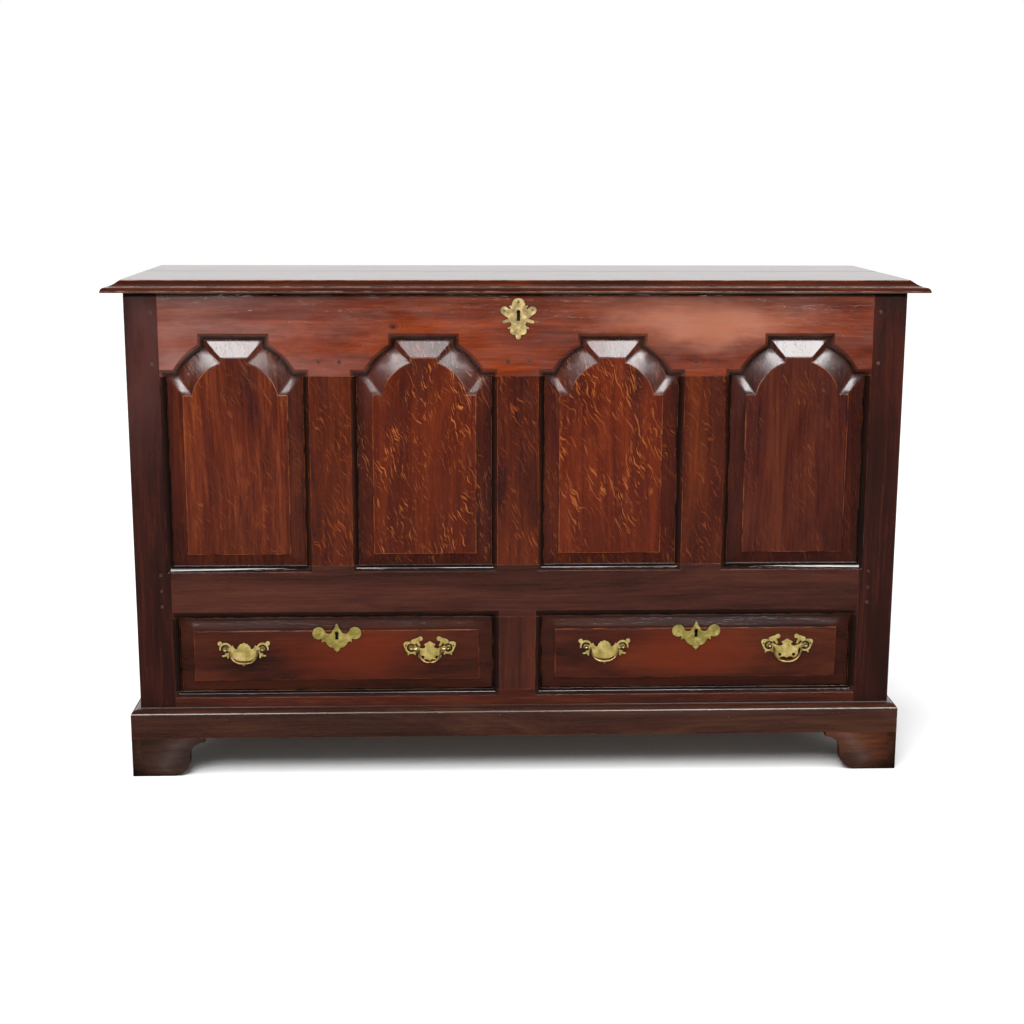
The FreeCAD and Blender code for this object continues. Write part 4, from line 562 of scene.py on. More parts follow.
    def knotted(self, oak: OakSheet) -> None:
        """Add a small dark knot with the rings that bend round it.

        Args:
            oak: The material so far.
        """
        x, z, radius = self.knot
        away = oak.away(x, z, (1.0, 0.0, 1.5))
        reach = oak.times(oak.noise(oak.place, (40.0, 1.0, 60.0), 3.0), radius * 1.4, away)
        oak.tint(oak.span(reach, radius * 0.7, radius * 1.9, 0.9, 0.0), "#150a08")
        ring = oak.span(oak.math("SINE", oak.times(reach, 900.0)), 0.0, 1.0)
        near = oak.span(reach, radius * 1.2, radius * 5.0, 0.3, 0.0)
        oak.tint(oak.times(ring, near), "#2a140f")

    def dried(self, oak: OakSheet) -> Socket:
        """Leave the side that faces away, and all that lies inside the outer ends, as bare, dusty oak.

        Args:
            oak: The material so far.

        Returns:
            Where the wood is bare.
        """
        bare = oak.span(oak.vector("DOT_PRODUCT", oak.coordinates["Normal"], self.hidden), 0.5, 0.8)
        if self.polished_beyond:
            across = oak.math("ABSOLUTE", oak.parts["X"])
            bare = oak.math("MAXIMUM", bare, oak.math("LESS_THAN", across, self.polished_beyond))
        streak = oak.noise(oak.board, DRY_STREAKS, 4.0, 0.65)
        oak.tint(bare, oak.ramp(streak, list(zip((0.32, 0.5, 0.68), self.dry))))
        return bare

    def surface(self, oak: OakSheet) -> bpy.types.Material:
        """Add painted shade and soiling in the corners, painted shade in recesses and under the lid,
        wear on the edges, painted sheen and gloss.

        Args:
            oak: The material so far.

        Returns:
            The material.
        """
        parts = oak.parts
        behind = below = lid_shadow = crack = None
        bare = self.dried(oak) if self.hidden else None
        if self.lip is not None:
            below = oak.math("LESS_THAN", parts["Z"], self.lip - HAIR)
        # Painted shade: what lies behind the front plane (moulding hollows, bevels and gaps) is darkened as
        # if in shade.
        if self.recess_from is not None:
            behind = oak.span(parts["Y"], self.recess_from + HAIR, self.recess_from + self.recess_depth * 0.3,
                                0.0, self.recess)
            within = oak.math("LESS_THAN", oak.math("ABSOLUTE", parts["X"]), OUTER_X)
            behind = oak.times(behind, within)
            if below is not None:
                behind = oak.times(behind, below)
            if bare is not None:
                behind = oak.times(behind, oak.math("SUBTRACT", 1.0, bare))
            oak.tint(behind, self.recess_shade_tone)
        # Painted shadow: the shadow that the lid casts, near black just under the lid.
        if below is not None:
            lid_shadow = oak.span(parts["Z"], self.lip - LID_SHADOW_FADES, self.lip - LID_SHADOW_FULL, 0.0, 0.98)
            lid_shadow = oak.times(lid_shadow, below)
            oak.tint(lid_shadow, "#040302")
        # Ambient occlusion darkens corners and gaps: soiling, and painted shade where shade falls.
        shade = add(oak.tree, "AmbientOcclusion", {"Distance": CORNER_DIRT_AND_SHADE}, samples=4).outputs["AO"]
        oak.tint(oak.span(shade, 0.3, 0.9, 0.85, 0.0), "#0c0604")
        if self.seam is not None:
            off = oak.math("ABSOLUTE", oak.math("SUBTRACT", parts["Y"], self.seam))
            parted = oak.span(oak.noise(oak.place, (3.0, 1.0, 1.0), 2.0), 0.35, 0.6, 0.3, 1.0)
            crack = oak.times(oak.span(off, SEAM_OPEN, SEAM_CLOSED, 1.0, 0.0), parted)
            oak.tint(crack, "#060303")
        haze = oak.noise(oak.board, HAZE, 4.0, 0.6)
        # bloom paints a pale sheen of reflected light in blotches.
        if self.bloom > 0.0:
            oak.tint(oak.times(oak.span(haze, 0.32, 0.66), self.bloom), self.sheen_tone)
        rounded, edge = oak.rim(self.edge_radius)
        rubbed = oak.span(oak.noise(oak.place, (26.0, 26.0, 26.0), 3.0), 0.38, 0.62)
        worn = oak.times(oak.times(edge, rubbed), self.wear)
        oak.tint(worn, self.wear_tone)
        dents = oak.noise(oak.place, (30.0, 30.0, 30.0), 2.0, 0.5)
        planed = oak.times(dents, 1.2, oak.height)
        bump = add(oak.tree, "Bump", {
            "Strength": self.bump, "Distance": 0.0005, "Height": planed, "Normal": rounded})
        rough = oak.times(oak.math("SUBTRACT", haze, 0.5), self.smear, self.gloss, clamp=True)
        for mask, amount in (
                (worn, 0.1), (behind, self.recess_rough), (lid_shadow, -0.13), (crack, 0.9), (bare, 0.6)):
            if mask is not None and amount:
                rough = oak.times(mask, amount, rough, clamp=True)
        return oak.close({
            "Base Color": oak.colour, "Roughness": rough, "Normal": bump.outputs[0],
            "Specular IOR Level": self.specular, "IOR": 1.5})


@dataclass(frozen=True)
class BrassFinish:
    """Old brass, rubbed bright on the faces, and darkened along every outline by soiling and painted shade.
    """

    name: str
    bright: str
    dull: str
    rubbed: str = "#dcc08a"
    dirt_and_shade: str = "#2c2210"
    metal: float = 0.65
    gloss: float = 0.42
    edge_radius: float = 0.0014

    def material(self) -> bpy.types.Material:
        """Build the node material.

        Returns:
            The material.
        """
        sheet = Sheet(self.name)
        cloud = sheet.noise(sheet.place, (90.0, 90.0, 90.0), 4.0, 0.6)
        spots = sheet.noise(sheet.place, (420.0, 420.0, 420.0), 3.0, 0.6)
        scratch = sheet.noise(sheet.place, (1500.0, 1500.0, 90.0), 2.0, 0.5)
        colour = sheet.ramp(cloud, [(0.25, self.dull), (0.5, self.bright), (0.75, self.rubbed)])
        colour = sheet.blend(sheet.span(spots, 0.6, 0.75, 0.0, 0.4), colour, self.dull)
        # Ambient occlusion darkens and dulls the brass along outlines and where parts touch: soiling, and
        # painted shade.
        shade = add(sheet.tree, "AmbientOcclusion", {"Distance": BRASS_DIRT_AND_SHADE}, samples=6).outputs["AO"]
        grime_and_shade = sheet.span(shade, 0.4, 0.9, 0.95, 0.0)
        rounded, edge = sheet.rim(self.edge_radius)
        colour = sheet.blend(sheet.times(edge, 0.6), colour, self.rubbed)
        colour = sheet.blend(grime_and_shade, colour, self.dirt_and_shade)
        metal = sheet.times(grime_and_shade, -0.6, self.metal, clamp=True)
        height = sheet.times(scratch, 0.3, spots)
        bump = add(sheet.tree, "Bump", {
            "Strength": 0.3, "Distance": 0.0002, "Height": height, "Normal": rounded})
        rough = sheet.times(cloud, 0.3, self.gloss - 0.12, clamp=True)
        rough = sheet.times(edge, -0.08, rough, clamp=True)
        return sheet.close({
            "Base Color": colour, "Metallic": metal, "Roughness": rough, "Normal": bump.outputs[0]})


@dataclass(frozen=True)
class IronFinish:
    """Forged iron, blacked by the fire, with hammer marks and a little brown rust in the pits."""

    name: str
    base: str = "#2b2825"
    rust: str = "#5a3320"
    rubbed: str = "#77716a"
    gloss: float = 0.5

    def material(self) -> bpy.types.Material:
        """Build the node material.

        Returns:
            The material.
        """
        sheet = Sheet(self.name)
        hammer = add(sheet.tree, "TexVoronoi", {"Vector": sheet.place, "Scale": 95.0}, feature="SMOOTH_F1")
        pits = sheet.noise(sheet.place, (340.0, 340.0, 340.0), 5.0, 0.65)
        bloom = sheet.noise(sheet.place, (48.0, 48.0, 48.0), 4.0, 0.6)
        colour = sheet.ramp(pits, [(0.35, "#171513"), (0.6, self.base)])
        rusty = sheet.times(sheet.span(bloom, 0.5, 0.7), sheet.span(pits, 0.4, 0.6))
        colour = sheet.blend(sheet.times(rusty, 0.8), colour, self.rust)
        rounded, edge = sheet.rim(0.0008)
        colour = sheet.blend(sheet.times(edge, 0.5), colour, self.rubbed)
        height = sheet.times(hammer.outputs["Distance"], 1.2, pits)
        bump = add(sheet.tree, "Bump", {
            "Strength": 0.45, "Distance": 0.0005, "Height": height, "Normal": rounded})
        rough = sheet.times(pits, 0.35, self.gloss - 0.15, clamp=True)
        metal = sheet.math("SUBTRACT", 0.85, rusty, clamp=True)
        return sheet.close({
            "Base Color": colour, "Metallic": metal, "Roughness": rough, "Normal": bump.outputs[0]})


class NodeGroup:
    """A Geometry Nodes group that is built once and put on pieces as a modifier."""

    def __init__(self, name: str, inputs: dict[str, str]) -> None:
        """Start the group, with its geometry going in.

        Args:
            name: The group's name.
            inputs: The kind of each further input, by its label.
        """
        self.name = name
        self.tree = bpy.data.node_groups.new(name, "GeometryNodeTree")
        self.tree.is_modifier = True
        face = self.tree.interface
        for way in ("INPUT", "OUTPUT"):
            face.new_socket("Geometry", in_out=way, socket_type="NodeSocketGeometry")
        self.inputs = {
            label: face.new_socket(label, in_out="INPUT", socket_type="NodeSocket" + kind).identifier
            for label, kind in inputs.items()}
        self.start = self.tree.nodes.new("NodeGroupInput").outputs

    def end(self, geometry: Socket) -> None:
        """Send the finished geometry out.

        Args:
            geometry: The geometry's socket.
        """
        self.tree.links.new(geometry, self.tree.nodes.new("NodeGroupOutput").inputs["Geometry"])

    def put_on(self, piece: bpy.types.Object, values: dict[str, Any]) -> None:
        """Give a piece the group as a modifier.

        Args:
            piece: The object.
            values: What goes into each further input, by its label.
        """
        modifier = piece.modifiers.new(self.name, "NODES")
        modifier.node_group = self.tree
        for label, value in values.items():
            modifier[self.inputs[label]] = value


class Smoothing(NodeGroup):
    """Joins a mesh's loose triangles and shades it smooth across gentle turns."""

    def __init__(self) -> None:
        """Build the group once, for every piece to share."""
        super().__init__("join_and_smooth", {"Sharp Angle": "Float"})
        tree, start = self.tree, self.start
        joined = add(tree, "GeometryNodeMergeByDistance", {
            "Geometry": start["Geometry"], "Distance": JOIN_WITHIN})
        angle = add(tree, "GeometryNodeInputMeshEdgeAngle").outputs["Unsigned Angle"]
        sharp = add(tree, "FunctionNodeCompare", {
            0: angle, 1: start["Sharp Angle"]}, operation="GREATER_THAN")
        soft = add(tree, "GeometryNodeSetShadeSmooth", {
            "Geometry": joined.outputs[0], "Shade Smooth": True}, domain="FACE")
        creased = add(tree, "GeometryNodeSetShadeSmooth", {
            "Geometry": soft.outputs[0], "Selection": sharp.outputs[0], "Shade Smooth": False}, domain="EDGE")
        self.end(creased.outputs[0])


class Nailing(NodeGroup):
    """Sets a forged, faceted nail head on every point, facing out of the wood."""

    def __init__(self) -> None:
        """Build the group once, for every set of nails to share."""
        super().__init__("driven_nails", {
            "Rise": "Float", "Flat": "Float", "Seed": "Int", "Finish": "Material"})
        tree, start = self.tree, self.start
        radius, facing = (
            add(tree, "GeometryNodeInputNamedAttribute", {"Name": name}, data_type=kind).outputs[0]
            for name, kind in (("radius", "FLOAT"), ("facing", "FLOAT_VECTOR")))
        height = add(tree, "ShaderNodeMath", {0: radius, 1: start["Rise"]}, operation="MULTIPLY").outputs[0]
        size = add(tree, "ShaderNodeCombineXYZ", {0: radius, 1: radius, 2: height}).outputs[0]
        head = add(tree, "GeometryNodeMeshCone", {
            "Vertices": HEAD_FACETS, "Side Segments": 2, "Radius Top": start["Flat"], "Radius Bottom": 1.0,
            "Depth": 1.0})
        angle = add(tree, "FunctionNodeRandomValue", {
            2: 0.0, 3: math.tau, "Seed": start["Seed"]}, data_type="FLOAT").outputs[1]
        outward = add(tree, "FunctionNodeAlignRotationToVector", {"Vector": facing}, axis="Z").outputs[0]
        turn = add(tree, "FunctionNodeAxisAngleToRotation", {
            "Axis": (0.0, 0.0, 1.0), "Angle": angle}).outputs[0]
        turned = add(tree, "FunctionNodeRotateRotation", {
            "Rotation": outward, "Rotate By": turn}, rotation_space="LOCAL").outputs[0]
        heads = add(tree, "GeometryNodeInstanceOnPoints", {
            "Points": start["Geometry"], "Instance": head.outputs["Mesh"], "Rotation": turned, "Scale": size})
        real = add(tree, "GeometryNodeRealizeInstances", {"Geometry": heads.outputs[0]}).outputs[0]
        dressed = add(tree, "GeometryNodeSetMaterial", {"Geometry": real, "Material": start["Finish"]})
        self.end(dressed.outputs[0])

    def drive(self, name: str, nails: list[Nail], finish: bpy.types.Material) -> bpy.types.Object:
        """Make one plain mesh of nail heads.

        Args:
            name: The piece's name.
            nails: Seat, outward direction and head radius of each nail.
            finish: The heads' material.

        Returns:
            The piece.
        """
        mesh = bpy.data.meshes.new(name + "_places")
        mesh.from_pydata([seat for seat, _, _ in nails], [], [])
        facing = mesh.attributes.new("facing", "FLOAT_VECTOR", "POINT")
        facing.data.foreach_set("vector", [value for _, out, _ in nails for value in out])
        radius = mesh.attributes.new("radius", "FLOAT", "POINT")
        radius.data.foreach_set("value", [size for _, _, size in nails])
        places = put(name + "_places", mesh)
        self.put_on(places, {"Rise": HEAD_RISE, "Flat": HEAD_FLAT, "Seed": 7, "Finish": finish})
        graph = bpy.context.evaluated_depsgraph_get()
        plain = bpy.data.meshes.new_from_object(places.evaluated_get(graph))
        plain.name = name
        bpy.data.objects.remove(places)
        for label in ("facing", "radius"):
            if label in plain.attributes:
                plain.attributes.remove(plain.attributes[label])
        return put(name, plain)


@dataclass(frozen=True)
class NailRow:
    """Nails of one size, driven into one node from one side."""

    node: str
    out: Triple
    places: tuple[Triple, ...]
    radius: float

    def seats(self, mesh: bpy.types.Mesh) -> list[Nail]:
        """Find where each nail meets the node's own surface.

        Args:
            mesh: The node's mesh.

        Returns:
            Seat, outward direction and head radius of each nail.
        """
        tree = BVHTree.FromPolygons([v.co for v in mesh.vertices], [p.vertices for p in mesh.polygons])
        out = Vector(self.out)
        found = []
        for place in self.places:
            hit = tree.ray_cast(Vector(place) + out * NAIL_SEARCH, -out, 2.0 * NAIL_SEARCH)[0]
            if hit is None:
                raise ValueError(f"a nail at {place} misses {self.node}")
            found.append((hit - out * NAIL_SUNK, out, self.radius))
        return found


@dataclass
class Assembly:
    """A group of CAD nodes that are finished together."""

    frame: dict[str, Any]
    smoothing: Smoothing
    made: dict[str, bpy.types.Material] = field(default_factory=dict)

    def finish(self, finish: Any, *nodes: str, angle: float = 28.0) -> None:
        """Give CAD nodes one finish, in the slots that they have.

        Args:
            finish: A finish with a name and a material().
            *nodes: The nodes' names.
            angle: Edges that turn more than this many degrees stay sharp.
        """
        if finish.name not in self.made:
            self.made[finish.name] = finish.material()
        for name in nodes:
            piece = self.frame["nodes"][name]
            if not piece.material_slots:
                piece.data.materials.append(None)
            for slot in piece.material_slots:
                slot.material = self.made[finish.name]
            self.smoothing.put_on(piece, {"Sharp Angle": math.radians(angle)})
            LOG.info("%s: %s", name, finish.name)


class Carcass(Assembly):
    """The framed body, its panels, plinth and feet."""

    def dress(self) -> None:
        """Finish every node of the carcass."""
        # The sweep paints a pale sheen of reflected light over the upper part of each stile; haze is its
        # tone.
        for side, haze, amount in (("left", "#5e3a36", 0.62), ("right", "#54261c", 0.55)):
            self.finish(OakFinish(
                f"oak_stile_{side}", Grain.Z, ("#1a0a06", "#280f0a", "#3e1810"), streaks=0.4, lip=LIP_Z,
                gloss=0.13, hidden=INWARD, recess_from=FACE_Y, wear_tone="#8a4420", seed=1.0,
                sweep=("Z", 0.5, 0.88), sweep_tone=haze, sweep_amount=amount), f"front_stile_{side}")
        # Painted sheen on the top rail: pale blotches, a glow right of the keyhole plate, and a pale sweep to
        # the left.
        self.finish(OakFinish(
            "oak_top_rail_hazed", Grain.X, ("#45170a", "#6a270c", "#8c3c14"), streaks=0.3, lip=LIP_Z,
            pores=0.8, bloom=0.05, recess_from=FACE_Y, gloss=0.15, bump=0.12, hidden=INWARD, seed=2.0,
            glow=(0.33, 0.862, 0.24, 0.06, "#cc9676"), knot=(-0.229, 0.853, 0.009),
            sweep=("X", -0.2, -0.6), sweep_tone="#8e6860", sweep_amount=0.8), "front_top_rail")
        self.finish(OakFinish(
            "oak_rail_brown", Grain.X, ("#2a130d", "#3c1d15", "#50291c"), recess_from=FACE_Y, seed=3.0,
            wear_tone="#8a4a24", hidden=INWARD), "front_mid_rail")
        self.finish(OakFinish(
            "oak_rail_low_red", Grain.X, ("#2e120b", "#451c10", "#5c2a18"), recess_from=FACE_Y, seed=6.0,
            wear_tone="#8a4a24"), "front_bottom_rail")
        self.finish(OakFinish(
            "oak_muntin_flecked", Grain.Z, ("#2c0d07", "#441709", "#5e260c"), flecks=0.42,
            fleck_tone="#94441a", slant=-30.0, recess_from=FACE_Y, seed=4.0, wear=0.85, hidden=INWARD,
            sweep=("X", 0.15, 0.4), sweep_tone="#240b07", sweep_amount=0.45), "front_muntins")
        self.finish(OakFinish(
            "oak_divider", Grain.Z, ("#2a100a", "#3a1a11", "#4e2416"), recess_from=FACE_Y,
            seed=5.0), "drawer_divider")
        self.dress_panels()
        self.dress_ends()
        self.dress_base()

    def dress_panels(self) -> None:
        """Finish the four fielded front panels, each sawn from its own board."""
        boards = [
            ("oak_panel_pored", ("#340f08", "#4e1b0c", "#6e3014"), 0.16, 0.5),
            ("oak_panel_flaked", ("#320c05", "#4c1707", "#642409"), 0.75, 0.3),
            ("oak_panel_flaked_soft", ("#320c05", "#4e1707", "#662409"), 0.5, 0.35),
            ("oak_panel_plain", ("#290b07", "#40150b", "#542312"), 0.14, 0.4)]
        for number, (name, tones, flecks, streaks) in enumerate(boards, start=1):
            node = f"front_panel_{number}"
            # recess paints shade on the bevels round each panel's raised field.
            self.finish(OakFinish(
                name, Grain.Z, tones, flecks=flecks, fleck_tone="#b4642a", streaks=streaks, hidden=INWARD,
                recess_from=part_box(node)[0].y, recess_depth=0.010, recess=0.5, recess_shade_tone="#260c07",
                recess_rough=0.0, gloss=0.15, edge_radius=0.0018, wear=0.9, wear_tone="#c06a28",
                sweep=("Z", 0.62, 0.40), sweep_tone="#2e0f09", sweep_amount=0.7, seed=10.0 + number), node)

    def dress_ends(self) -> None:
        """Finish the two framed ends, the back, the floor and the hidden framing."""
        for side, inward in (("left", 1.0), ("right", -1.0)):
            self.finish(OakFinish(
                f"oak_end_frame_{side}", Grain.END_Z, END_TONES, seed=21.0, gloss=0.2,
                hidden=(inward, 0.0, 0.0), wear_tone="#8a4a24",
                crosswise=Crosswise(Grain.END_Y, "Z", RAIL_BANDS)), f"end_frame_{side}")
            self.finish(OakFinish(
                f"oak_end_panel_{side}", Grain.END_Z, ("#320f08", "#4c1b0c", "#683014"), flecks=0.4,
                fleck_tone="#a85a28", seed=22.0, gloss=0.2, hidden=(inward, 0.0, 0.0),
                crosswise=Crosswise(Grain.END_Y, "Z", LOW_PANEL_BAND)), f"end_panels_{side}")
        self.finish(OakFinish(
            "oak_back_unpolished", Grain.Z, END_TONES, gloss=0.2, seed=23.0, wear_tone="#86694c",
            hidden=BACKWARD, polished_beyond=POLISHED_X, dry=BACK_TONES,
            crosswise=Crosswise(Grain.X, "Z", RAIL_BANDS, RAIL_HALF_WIDTH)), "rear_frame")
        self.finish(OakFinish(
            "oak_back_panel", Grain.Z, BACK_TONES, streaks=0.6, gloss=0.72, specular=0.2, seed=26.0,
            wear_tone="#86694c", crosswise=Crosswise(Grain.X, "Z", LOW_PANEL_BAND)), "rear_panels")
        self.finish(OakFinish(
            "oak_inside_dry", Grain.X, ("#5a4028", "#7c5c3c", "#9c7a54"), streaks=0.6, gloss=0.78,
            specular=0.2, wear_tone="#a98a62", seed=24.0), "chest_floor")
        self.finish(OakFinish(
            "oak_runner_dry", Grain.Y, ("#503823", "#705236", "#8e6e4a"), streaks=0.6, gloss=0.7,
            specular=0.2, wear_tone="#a98a62", seed=27.0), "drawer_runners")
        self.finish(OakFinish(
            "oak_peg_end_grain", Grain.Y, ("#241410", "#38211a", "#56362a"), streaks=0.3, gloss=0.5,
            specular=0.2, wear_tone="#8c6a5a", wear=0.7, seed=25.0, edge_radius=0.0008),
            "frame_pegs", angle=40.0)

    def dress_base(self) -> None:
        """Finish the plinth and its bracket feet."""
        plinth = OakFinish(
            "oak_plinth_dark", Grain.X, ("#26120b", "#351b12", "#482a1a"), gloss=0.18, wear=0.95,
            wear_tone="#a0501e", seed=31.0)
        self.finish(plinth, "plinth_front")
        side = replace(plinth, name="oak_plinth_side", grain=Grain.Y, wear=0.9, seed=32.0)
        self.finish(side, "plinth_left", "plinth_right")
        foot = OakFinish(
            "oak_foot_dark", Grain.X, ("#20110c", "#301c15", "#432819"), gloss=0.5, specular=0.15, wear=0.7,
            crosswise=Crosswise(Grain.Y, "X", ((0.715, 0.74),)), wear_tone="#7a4426", seed=33.0)
        self.finish(foot, "foot_front_left", "foot_rear_left")
        red_foot = replace(foot, name="oak_foot_red", tones=("#2a130b", "#402010", "#582e18"), seed=34.0)
        self.finish(red_foot, "foot_front_right", "foot_rear_right")


class Lid(Assembly):
    """The two boards of the lid and the battens under them."""

    def dress(self) -> None:
        """Finish the lid."""
        # The pale edge tone is wear, and it also paints a highlight line along the lid's nose.
        self.finish(OakFinish(
            "oak_lid_polished", Grain.X, ("#2a0d06", "#3c1508", "#54220c"), streaks=0.3, gloss=0.15,
            smear=0.06, hidden=DOWNWARD, seam=SEAM_Y, bump=0.1, wear=0.75, wear_tone="#c49474",
            seed=41.0), "lid_board_front", "lid_board_rear")
        self.finish(OakFinish(
            "oak_batten_dry", Grain.Y, ("#4a3422", "#6a4e34", "#86684a"), gloss=0.7, specular=0.2,
            wear_tone="#9a7c58", seed=42.0), "lid_battens")


class Drawers(Assembly):
    """The two drawers, with their dovetailed boxes and fielded fronts."""

    def dress(self) -> None:
        """Finish both drawers."""
        for number, side in enumerate(("left", "right")):
            # recess paints shade on the bevels and the gap round each drawer front.
            self.finish(OakFinish(
                f"oak_drawer_front_{side}", Grain.X, ("#26100a", "#3c190f", "#502412"), streaks=0.25,
                recess_from=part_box(f"drawer_{side}_front")[0].y, recess_depth=0.006, recess=0.5,
                recess_shade_tone="#200f0a", recess_rough=0.0, smear=0.04, specular=0.4, hidden=INWARD,
                bump=0.1, edge_radius=0.0016, wear=0.9, wear_tone="#b0581e", seed=51.0 + number,
                glow=(-0.3 + 0.62 * number, 0.235, 0.17, 0.06, "#7e2f12")), f"drawer_{side}_front")
            self.finish(OakFinish(
                f"oak_drawer_side_{side}", Grain.Y, ("#5c4430", "#80644a", "#a08468"), gloss=0.75,
                specular=0.2, wear_tone="#b09470", seed=53.0 + number), f"drawer_{side}_sides")
            self.finish(OakFinish(
                f"oak_drawer_bottom_{side}", Grain.X, ("#5a422c", "#7c6044", "#9c8060"), gloss=0.78,
                specular=0.2, wear_tone="#b09470", seed=55.0 + number),
                f"drawer_{side}_bottom", f"drawer_{side}_back")


class Metalwork(Assembly):
    """Handles, keyhole plates, locks and hinges."""

    def dress(self) -> None:
        """Finish the brass and the iron."""
        plate = BrassFinish("brass_plate_rubbed", "#b8a45a", "#94823f")
        shield = BrassFinish("brass_shield_dull", "#88744a", "#5a4c30", rubbed="#ccb878")
        wing = BrassFinish("brass_winged_plate_dull", "#95863f", "#74662e", rubbed="#c4b070")
        bail = BrassFinish(
            "brass_bail_worn", "#b08c5c", "#7a6038", metal=0.95, gloss=0.3, edge_radius=0.0005)
        post = replace(bail, name="brass_post_bright", bright="#c8b06c", dull="#8a7240", gloss=0.24)
        lock = IronFinish("iron_lock_filed", base="#4a4642", rubbed="#9a948c", gloss=0.4)
        self.finish(shield, "chest_escutcheon", angle=40.0)
        for side in ("left", "right"):
            self.finish(plate, f"drawer_{side}_backplates", angle=40.0)
            self.finish(wing, f"drawer_{side}_escutcheon", angle=40.0)
            self.finish(post, f"drawer_{side}_handle_posts", angle=45.0)
            self.finish(bail, f"drawer_{side}_bail_left", f"drawer_{side}_bail_right", angle=50.0)
            self.finish(lock, f"drawer_{side}_lock", f"drawer_{side}_lock_bolt")
        self.finish(lock, "chest_lock", "chest_lock_bolt", "chest_lock_staple")
        hinges = ("hinge_lid_straps", "hinge_carcass_leaves", "hinge_pins")
        self.finish(IronFinish("iron_forged_black"), *hinges, angle=40.0)


@dataclass
class Nails(Assembly):
    """The nails that hold the hinges, the battens, the chest's lock and the plinth, in metres."""

    hinge_x: float = 0.56
    strap_y: tuple[float, ...] = (0.188, 0.13, 0.07, 0.0)
    leaf_x: float = 0.022
    leaf_z: tuple[float, ...] = (0.872, 0.893)
    batten_x: float = 0.33
    batten_y: tuple[float, ...] = (-0.14, -0.05, 0.05, 0.14)
    lock_x: float = 0.044
    lock_z: tuple[float, ...] = (0.862, 0.892)
    plinth_front: tuple[tuple[float, float], ...] = (
        (-0.551, 0.111), (-0.033, 0.116), (0.405, 0.108), (0.62, 0.113))
    plinth_side_y: tuple[float, ...] = (-0.13, 0.15)

    def rows(self) -> dict[str, list[NailRow]]:
        """List the nails that ride on each body.

        Returns:
            Rows of nails, by the body's name.
        """
        hands = (-1.0, 1.0)
        lid = [
            NailRow("hinge_lid_straps", DOWNWARD, tuple(
                (hand * self.hinge_x, y, 0.91) for hand in hands for y in self.strap_y), 0.0034),
            NailRow("lid_battens", DOWNWARD, tuple(
                (hand * self.batten_x + 0.014 * (-1) ** row, y, 0.89)
                for hand in hands for row, y in enumerate(self.batten_y)), 0.0026)]
        carcass = [
            NailRow("hinge_carcass_leaves", BACKWARD, tuple(
                (hand * self.hinge_x + side * self.leaf_x, 0.24, z)
                for hand in hands for side in hands for z in self.leaf_z), 0.003),
            NailRow("chest_lock", INWARD, tuple(
                (hand * self.lock_x, -0.15, z) for hand in hands for z in self.lock_z), 0.0022),
            NailRow("plinth_front", (0.0, -1.0, 0.0), tuple(
                (x, -0.23, z) for x, z in self.plinth_front), 0.0014)]
        for hand, side in zip(hands, ("left", "right")):
            carcass.append(NailRow(f"plinth_{side}", (hand, 0.0, 0.0), tuple(
                (hand * 0.74, y, 0.108) for y in self.plinth_side_y), 0.0014))
        return {"lid": lid, "carcass": carcass}

    def dress(self) -> None:
        """Drive every nail, in one mesh for each body."""
        iron = IronFinish("iron_nail_head", base="#3a342e", rubbed="#a09686", gloss=0.4).material()
        nailing = Nailing()
        for body, rows in self.rows().items():
            nails = [nail for row in rows for nail in row.seats(self.frame["nodes"][row.node].data)]
            piece = nailing.drive(f"nails_{body}", nails, iron)
            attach(piece, body)
            LOG.info("%s: %d nails", piece.name, len(nails))


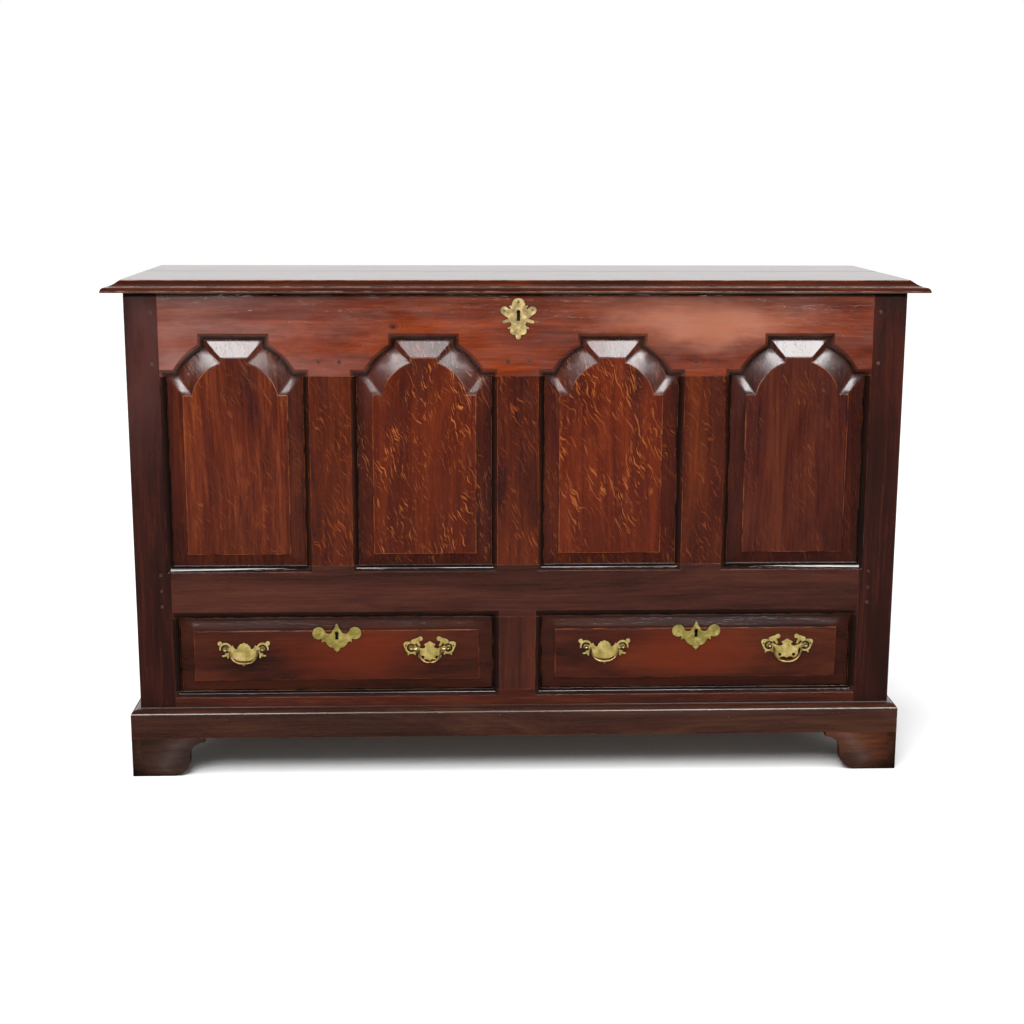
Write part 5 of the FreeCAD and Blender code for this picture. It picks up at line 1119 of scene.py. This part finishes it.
class Studio:
    """The floor, the lights, the world and the camera."""

    def build(self) -> None:
        """Set up everything round the chest."""
        self.floor()
        self.sky()
        self.overhead()
        self.light("key_soft", (-0.9, -3.3, 3.5), (0.0, 0.0, 0.5), (2.2, 1.6), 120.0, mirrored=False)
        self.light("left_window", (-1.5, -5.0, 1.65), (-0.3, 0.0, 0.7), (1.2, 1.1), 82.0, lights=False)
        self.light("right_window", (1.5, -5.0, 1.65), (0.3, 0.0, 0.7), (1.8, 1.1), 130.0, lights=False)
        self.light("middle_window", (-0.15, -5.0, 1.65), (0.0, 0.0, 0.7), (1.5, 1.1), 36.0, lights=False)
        self.light("left_fill", (-3.6, -1.6, 2.2), (0.0, 0.0, 0.6), (1.4, 1.4), 16.0)
        self.light("right_fill", (3.6, -1.2, 2.0), (0.0, 0.0, 0.6), (1.4, 1.4), 12.0)
        self.camera()
        bpy.context.scene.view_settings.view_transform = "Standard"

    def floor(self) -> None:
        """Lay a wide pale floor."""
        mesh = bpy.data.meshes.new("studio_floor")
        turns = ((-1, -1), (1, -1), (1, 1), (-1, 1))
        mesh.from_pydata([(x * FLOOR_REACH, y * FLOOR_REACH, 0.0) for x, y in turns], [], [(0, 1, 2, 3)])
        piece = put("studio_floor", mesh)
        sheet = Sheet("studio_paper")
        tooth = sheet.noise(sheet.place, (160.0, 160.0, 160.0), 2.0)
        colour = sheet.blend(sheet.times(tooth, 0.05), "#f4f4f4", "#dcdcdc")
        mirrored = add(sheet.tree, "LightPath").outputs["Is Glossy Ray"]
        colour = sheet.blend(mirrored, colour, MIRRORED_FLOOR)
        mesh.materials.append(sheet.close({
            "Base Color": colour, "Roughness": 0.85, "Specular IOR Level": 0.1}))

    def sky(self) -> None:
        """Make a white background, softer where it only lights the chest."""
        world = bpy.data.worlds.new("studio_world")
        bpy.context.scene.world = world
        world.use_nodes = True
        tree = world.node_tree
        tree.nodes.clear()
        rays = add(tree, "LightPath").outputs
        seen = add(tree, "Math", {
            0: rays["Is Camera Ray"], 1: rays["Is Transmission Ray"]}, operation="MAXIMUM").outputs[0]
        way = add(tree, "TexCoord").outputs["Generated"]
        ahead = add(tree, "SeparateXYZ", {0: way}).outputs["Y"]
        mirrored = add(tree, "MapRange", {
            "Value": ahead, "From Min": 0.3, "From Max": 0.95, "To Min": 0.03, "To Max": 1.0},
            interpolation_type="SMOOTHSTEP").outputs["Result"]
        soft = add(tree, "Mix", {0: rays["Is Glossy Ray"], 2: 0.5, 3: mirrored}, data_type="FLOAT").outputs[0]
        strength = add(tree, "Mix", {0: seen, 2: soft, 3: 1.0}, data_type="FLOAT").outputs[0]
        glow = add(tree, "Background", {"Color": (1.0, 1.0, 1.0, 1.0), "Strength": strength})
        add(tree, "OutputWorld", {"Surface": glow.outputs[0]})

    def overhead(self) -> None:
        """Light the floor evenly from above, as a wide bank of lamps does."""
        data = bpy.data.lights.new("overhead_bank", "SUN")
        data.energy = 2.6
        data.angle = math.radians(50.0)
        lamp = put("overhead_bank", data)
        lamp.rotation_euler = (math.radians(12.0), math.radians(-6.0), 0.0)
        lamp.visible_glossy = False

    def light(self, name: str, at: Triple, target: Triple, size: tuple[float, float], watts: float,
              lights: bool = True, mirrored: bool = True) -> None:
        """Hang one rectangular soft light.

        Args:
            name: The light's name.
            at: Where it hangs, in metres.
            target: The point that it faces.
            size: Width and height in metres.
            watts: Its power.
            lights: Whether it lights rough surfaces.
            mirrored: Whether polished surfaces mirror it.
        """
        data = bpy.data.lights.new(name, "AREA")
        data.shape = "RECTANGLE"
        data.size, data.size_y = size
        data.energy = watts
        lamp = put(name, data)
        lamp.visible_diffuse, lamp.visible_glossy = lights, mirrored
        lamp.location = at
        lamp.rotation_euler = (Vector(target) - Vector(at)).to_track_quat("-Z", "Y").to_euler()

    def camera(self) -> None:
        """Set the camera a little left of the middle, at the height of a standing eye."""
        data = bpy.data.cameras.new("studio_camera")
        data.lens = CAMERA_LENS
        data.sensor_width = SENSOR_WIDTH
        data.clip_end = VIEW_DEPTH
        eye = put("studio_camera", data)
        yaw, pitch, roll = CAMERA_TURN
        turn = Matrix.Rotation(yaw, 4, "Z") @ Matrix.Rotation(pitch, 4, "X") @ Matrix.Rotation(roll, 4, "Y")
        eye.matrix_world = Matrix.Translation(CAMERA_AT) @ turn @ Matrix.Rotation(math.pi / 2.0, 4, "X")
        bpy.context.scene.camera = eye


def main() -> None:
    """Dress the chest and set up the studio."""
    logging.basicConfig(level=logging.INFO, format="%(name)s: %(message)s")
    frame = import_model()
    smoothing = Smoothing()
    for kind in (Carcass, Lid, Drawers, Metalwork, Nails):
        kind(frame, smoothing).dress()
    Studio().build()


if __name__ == "__main__":
    main()
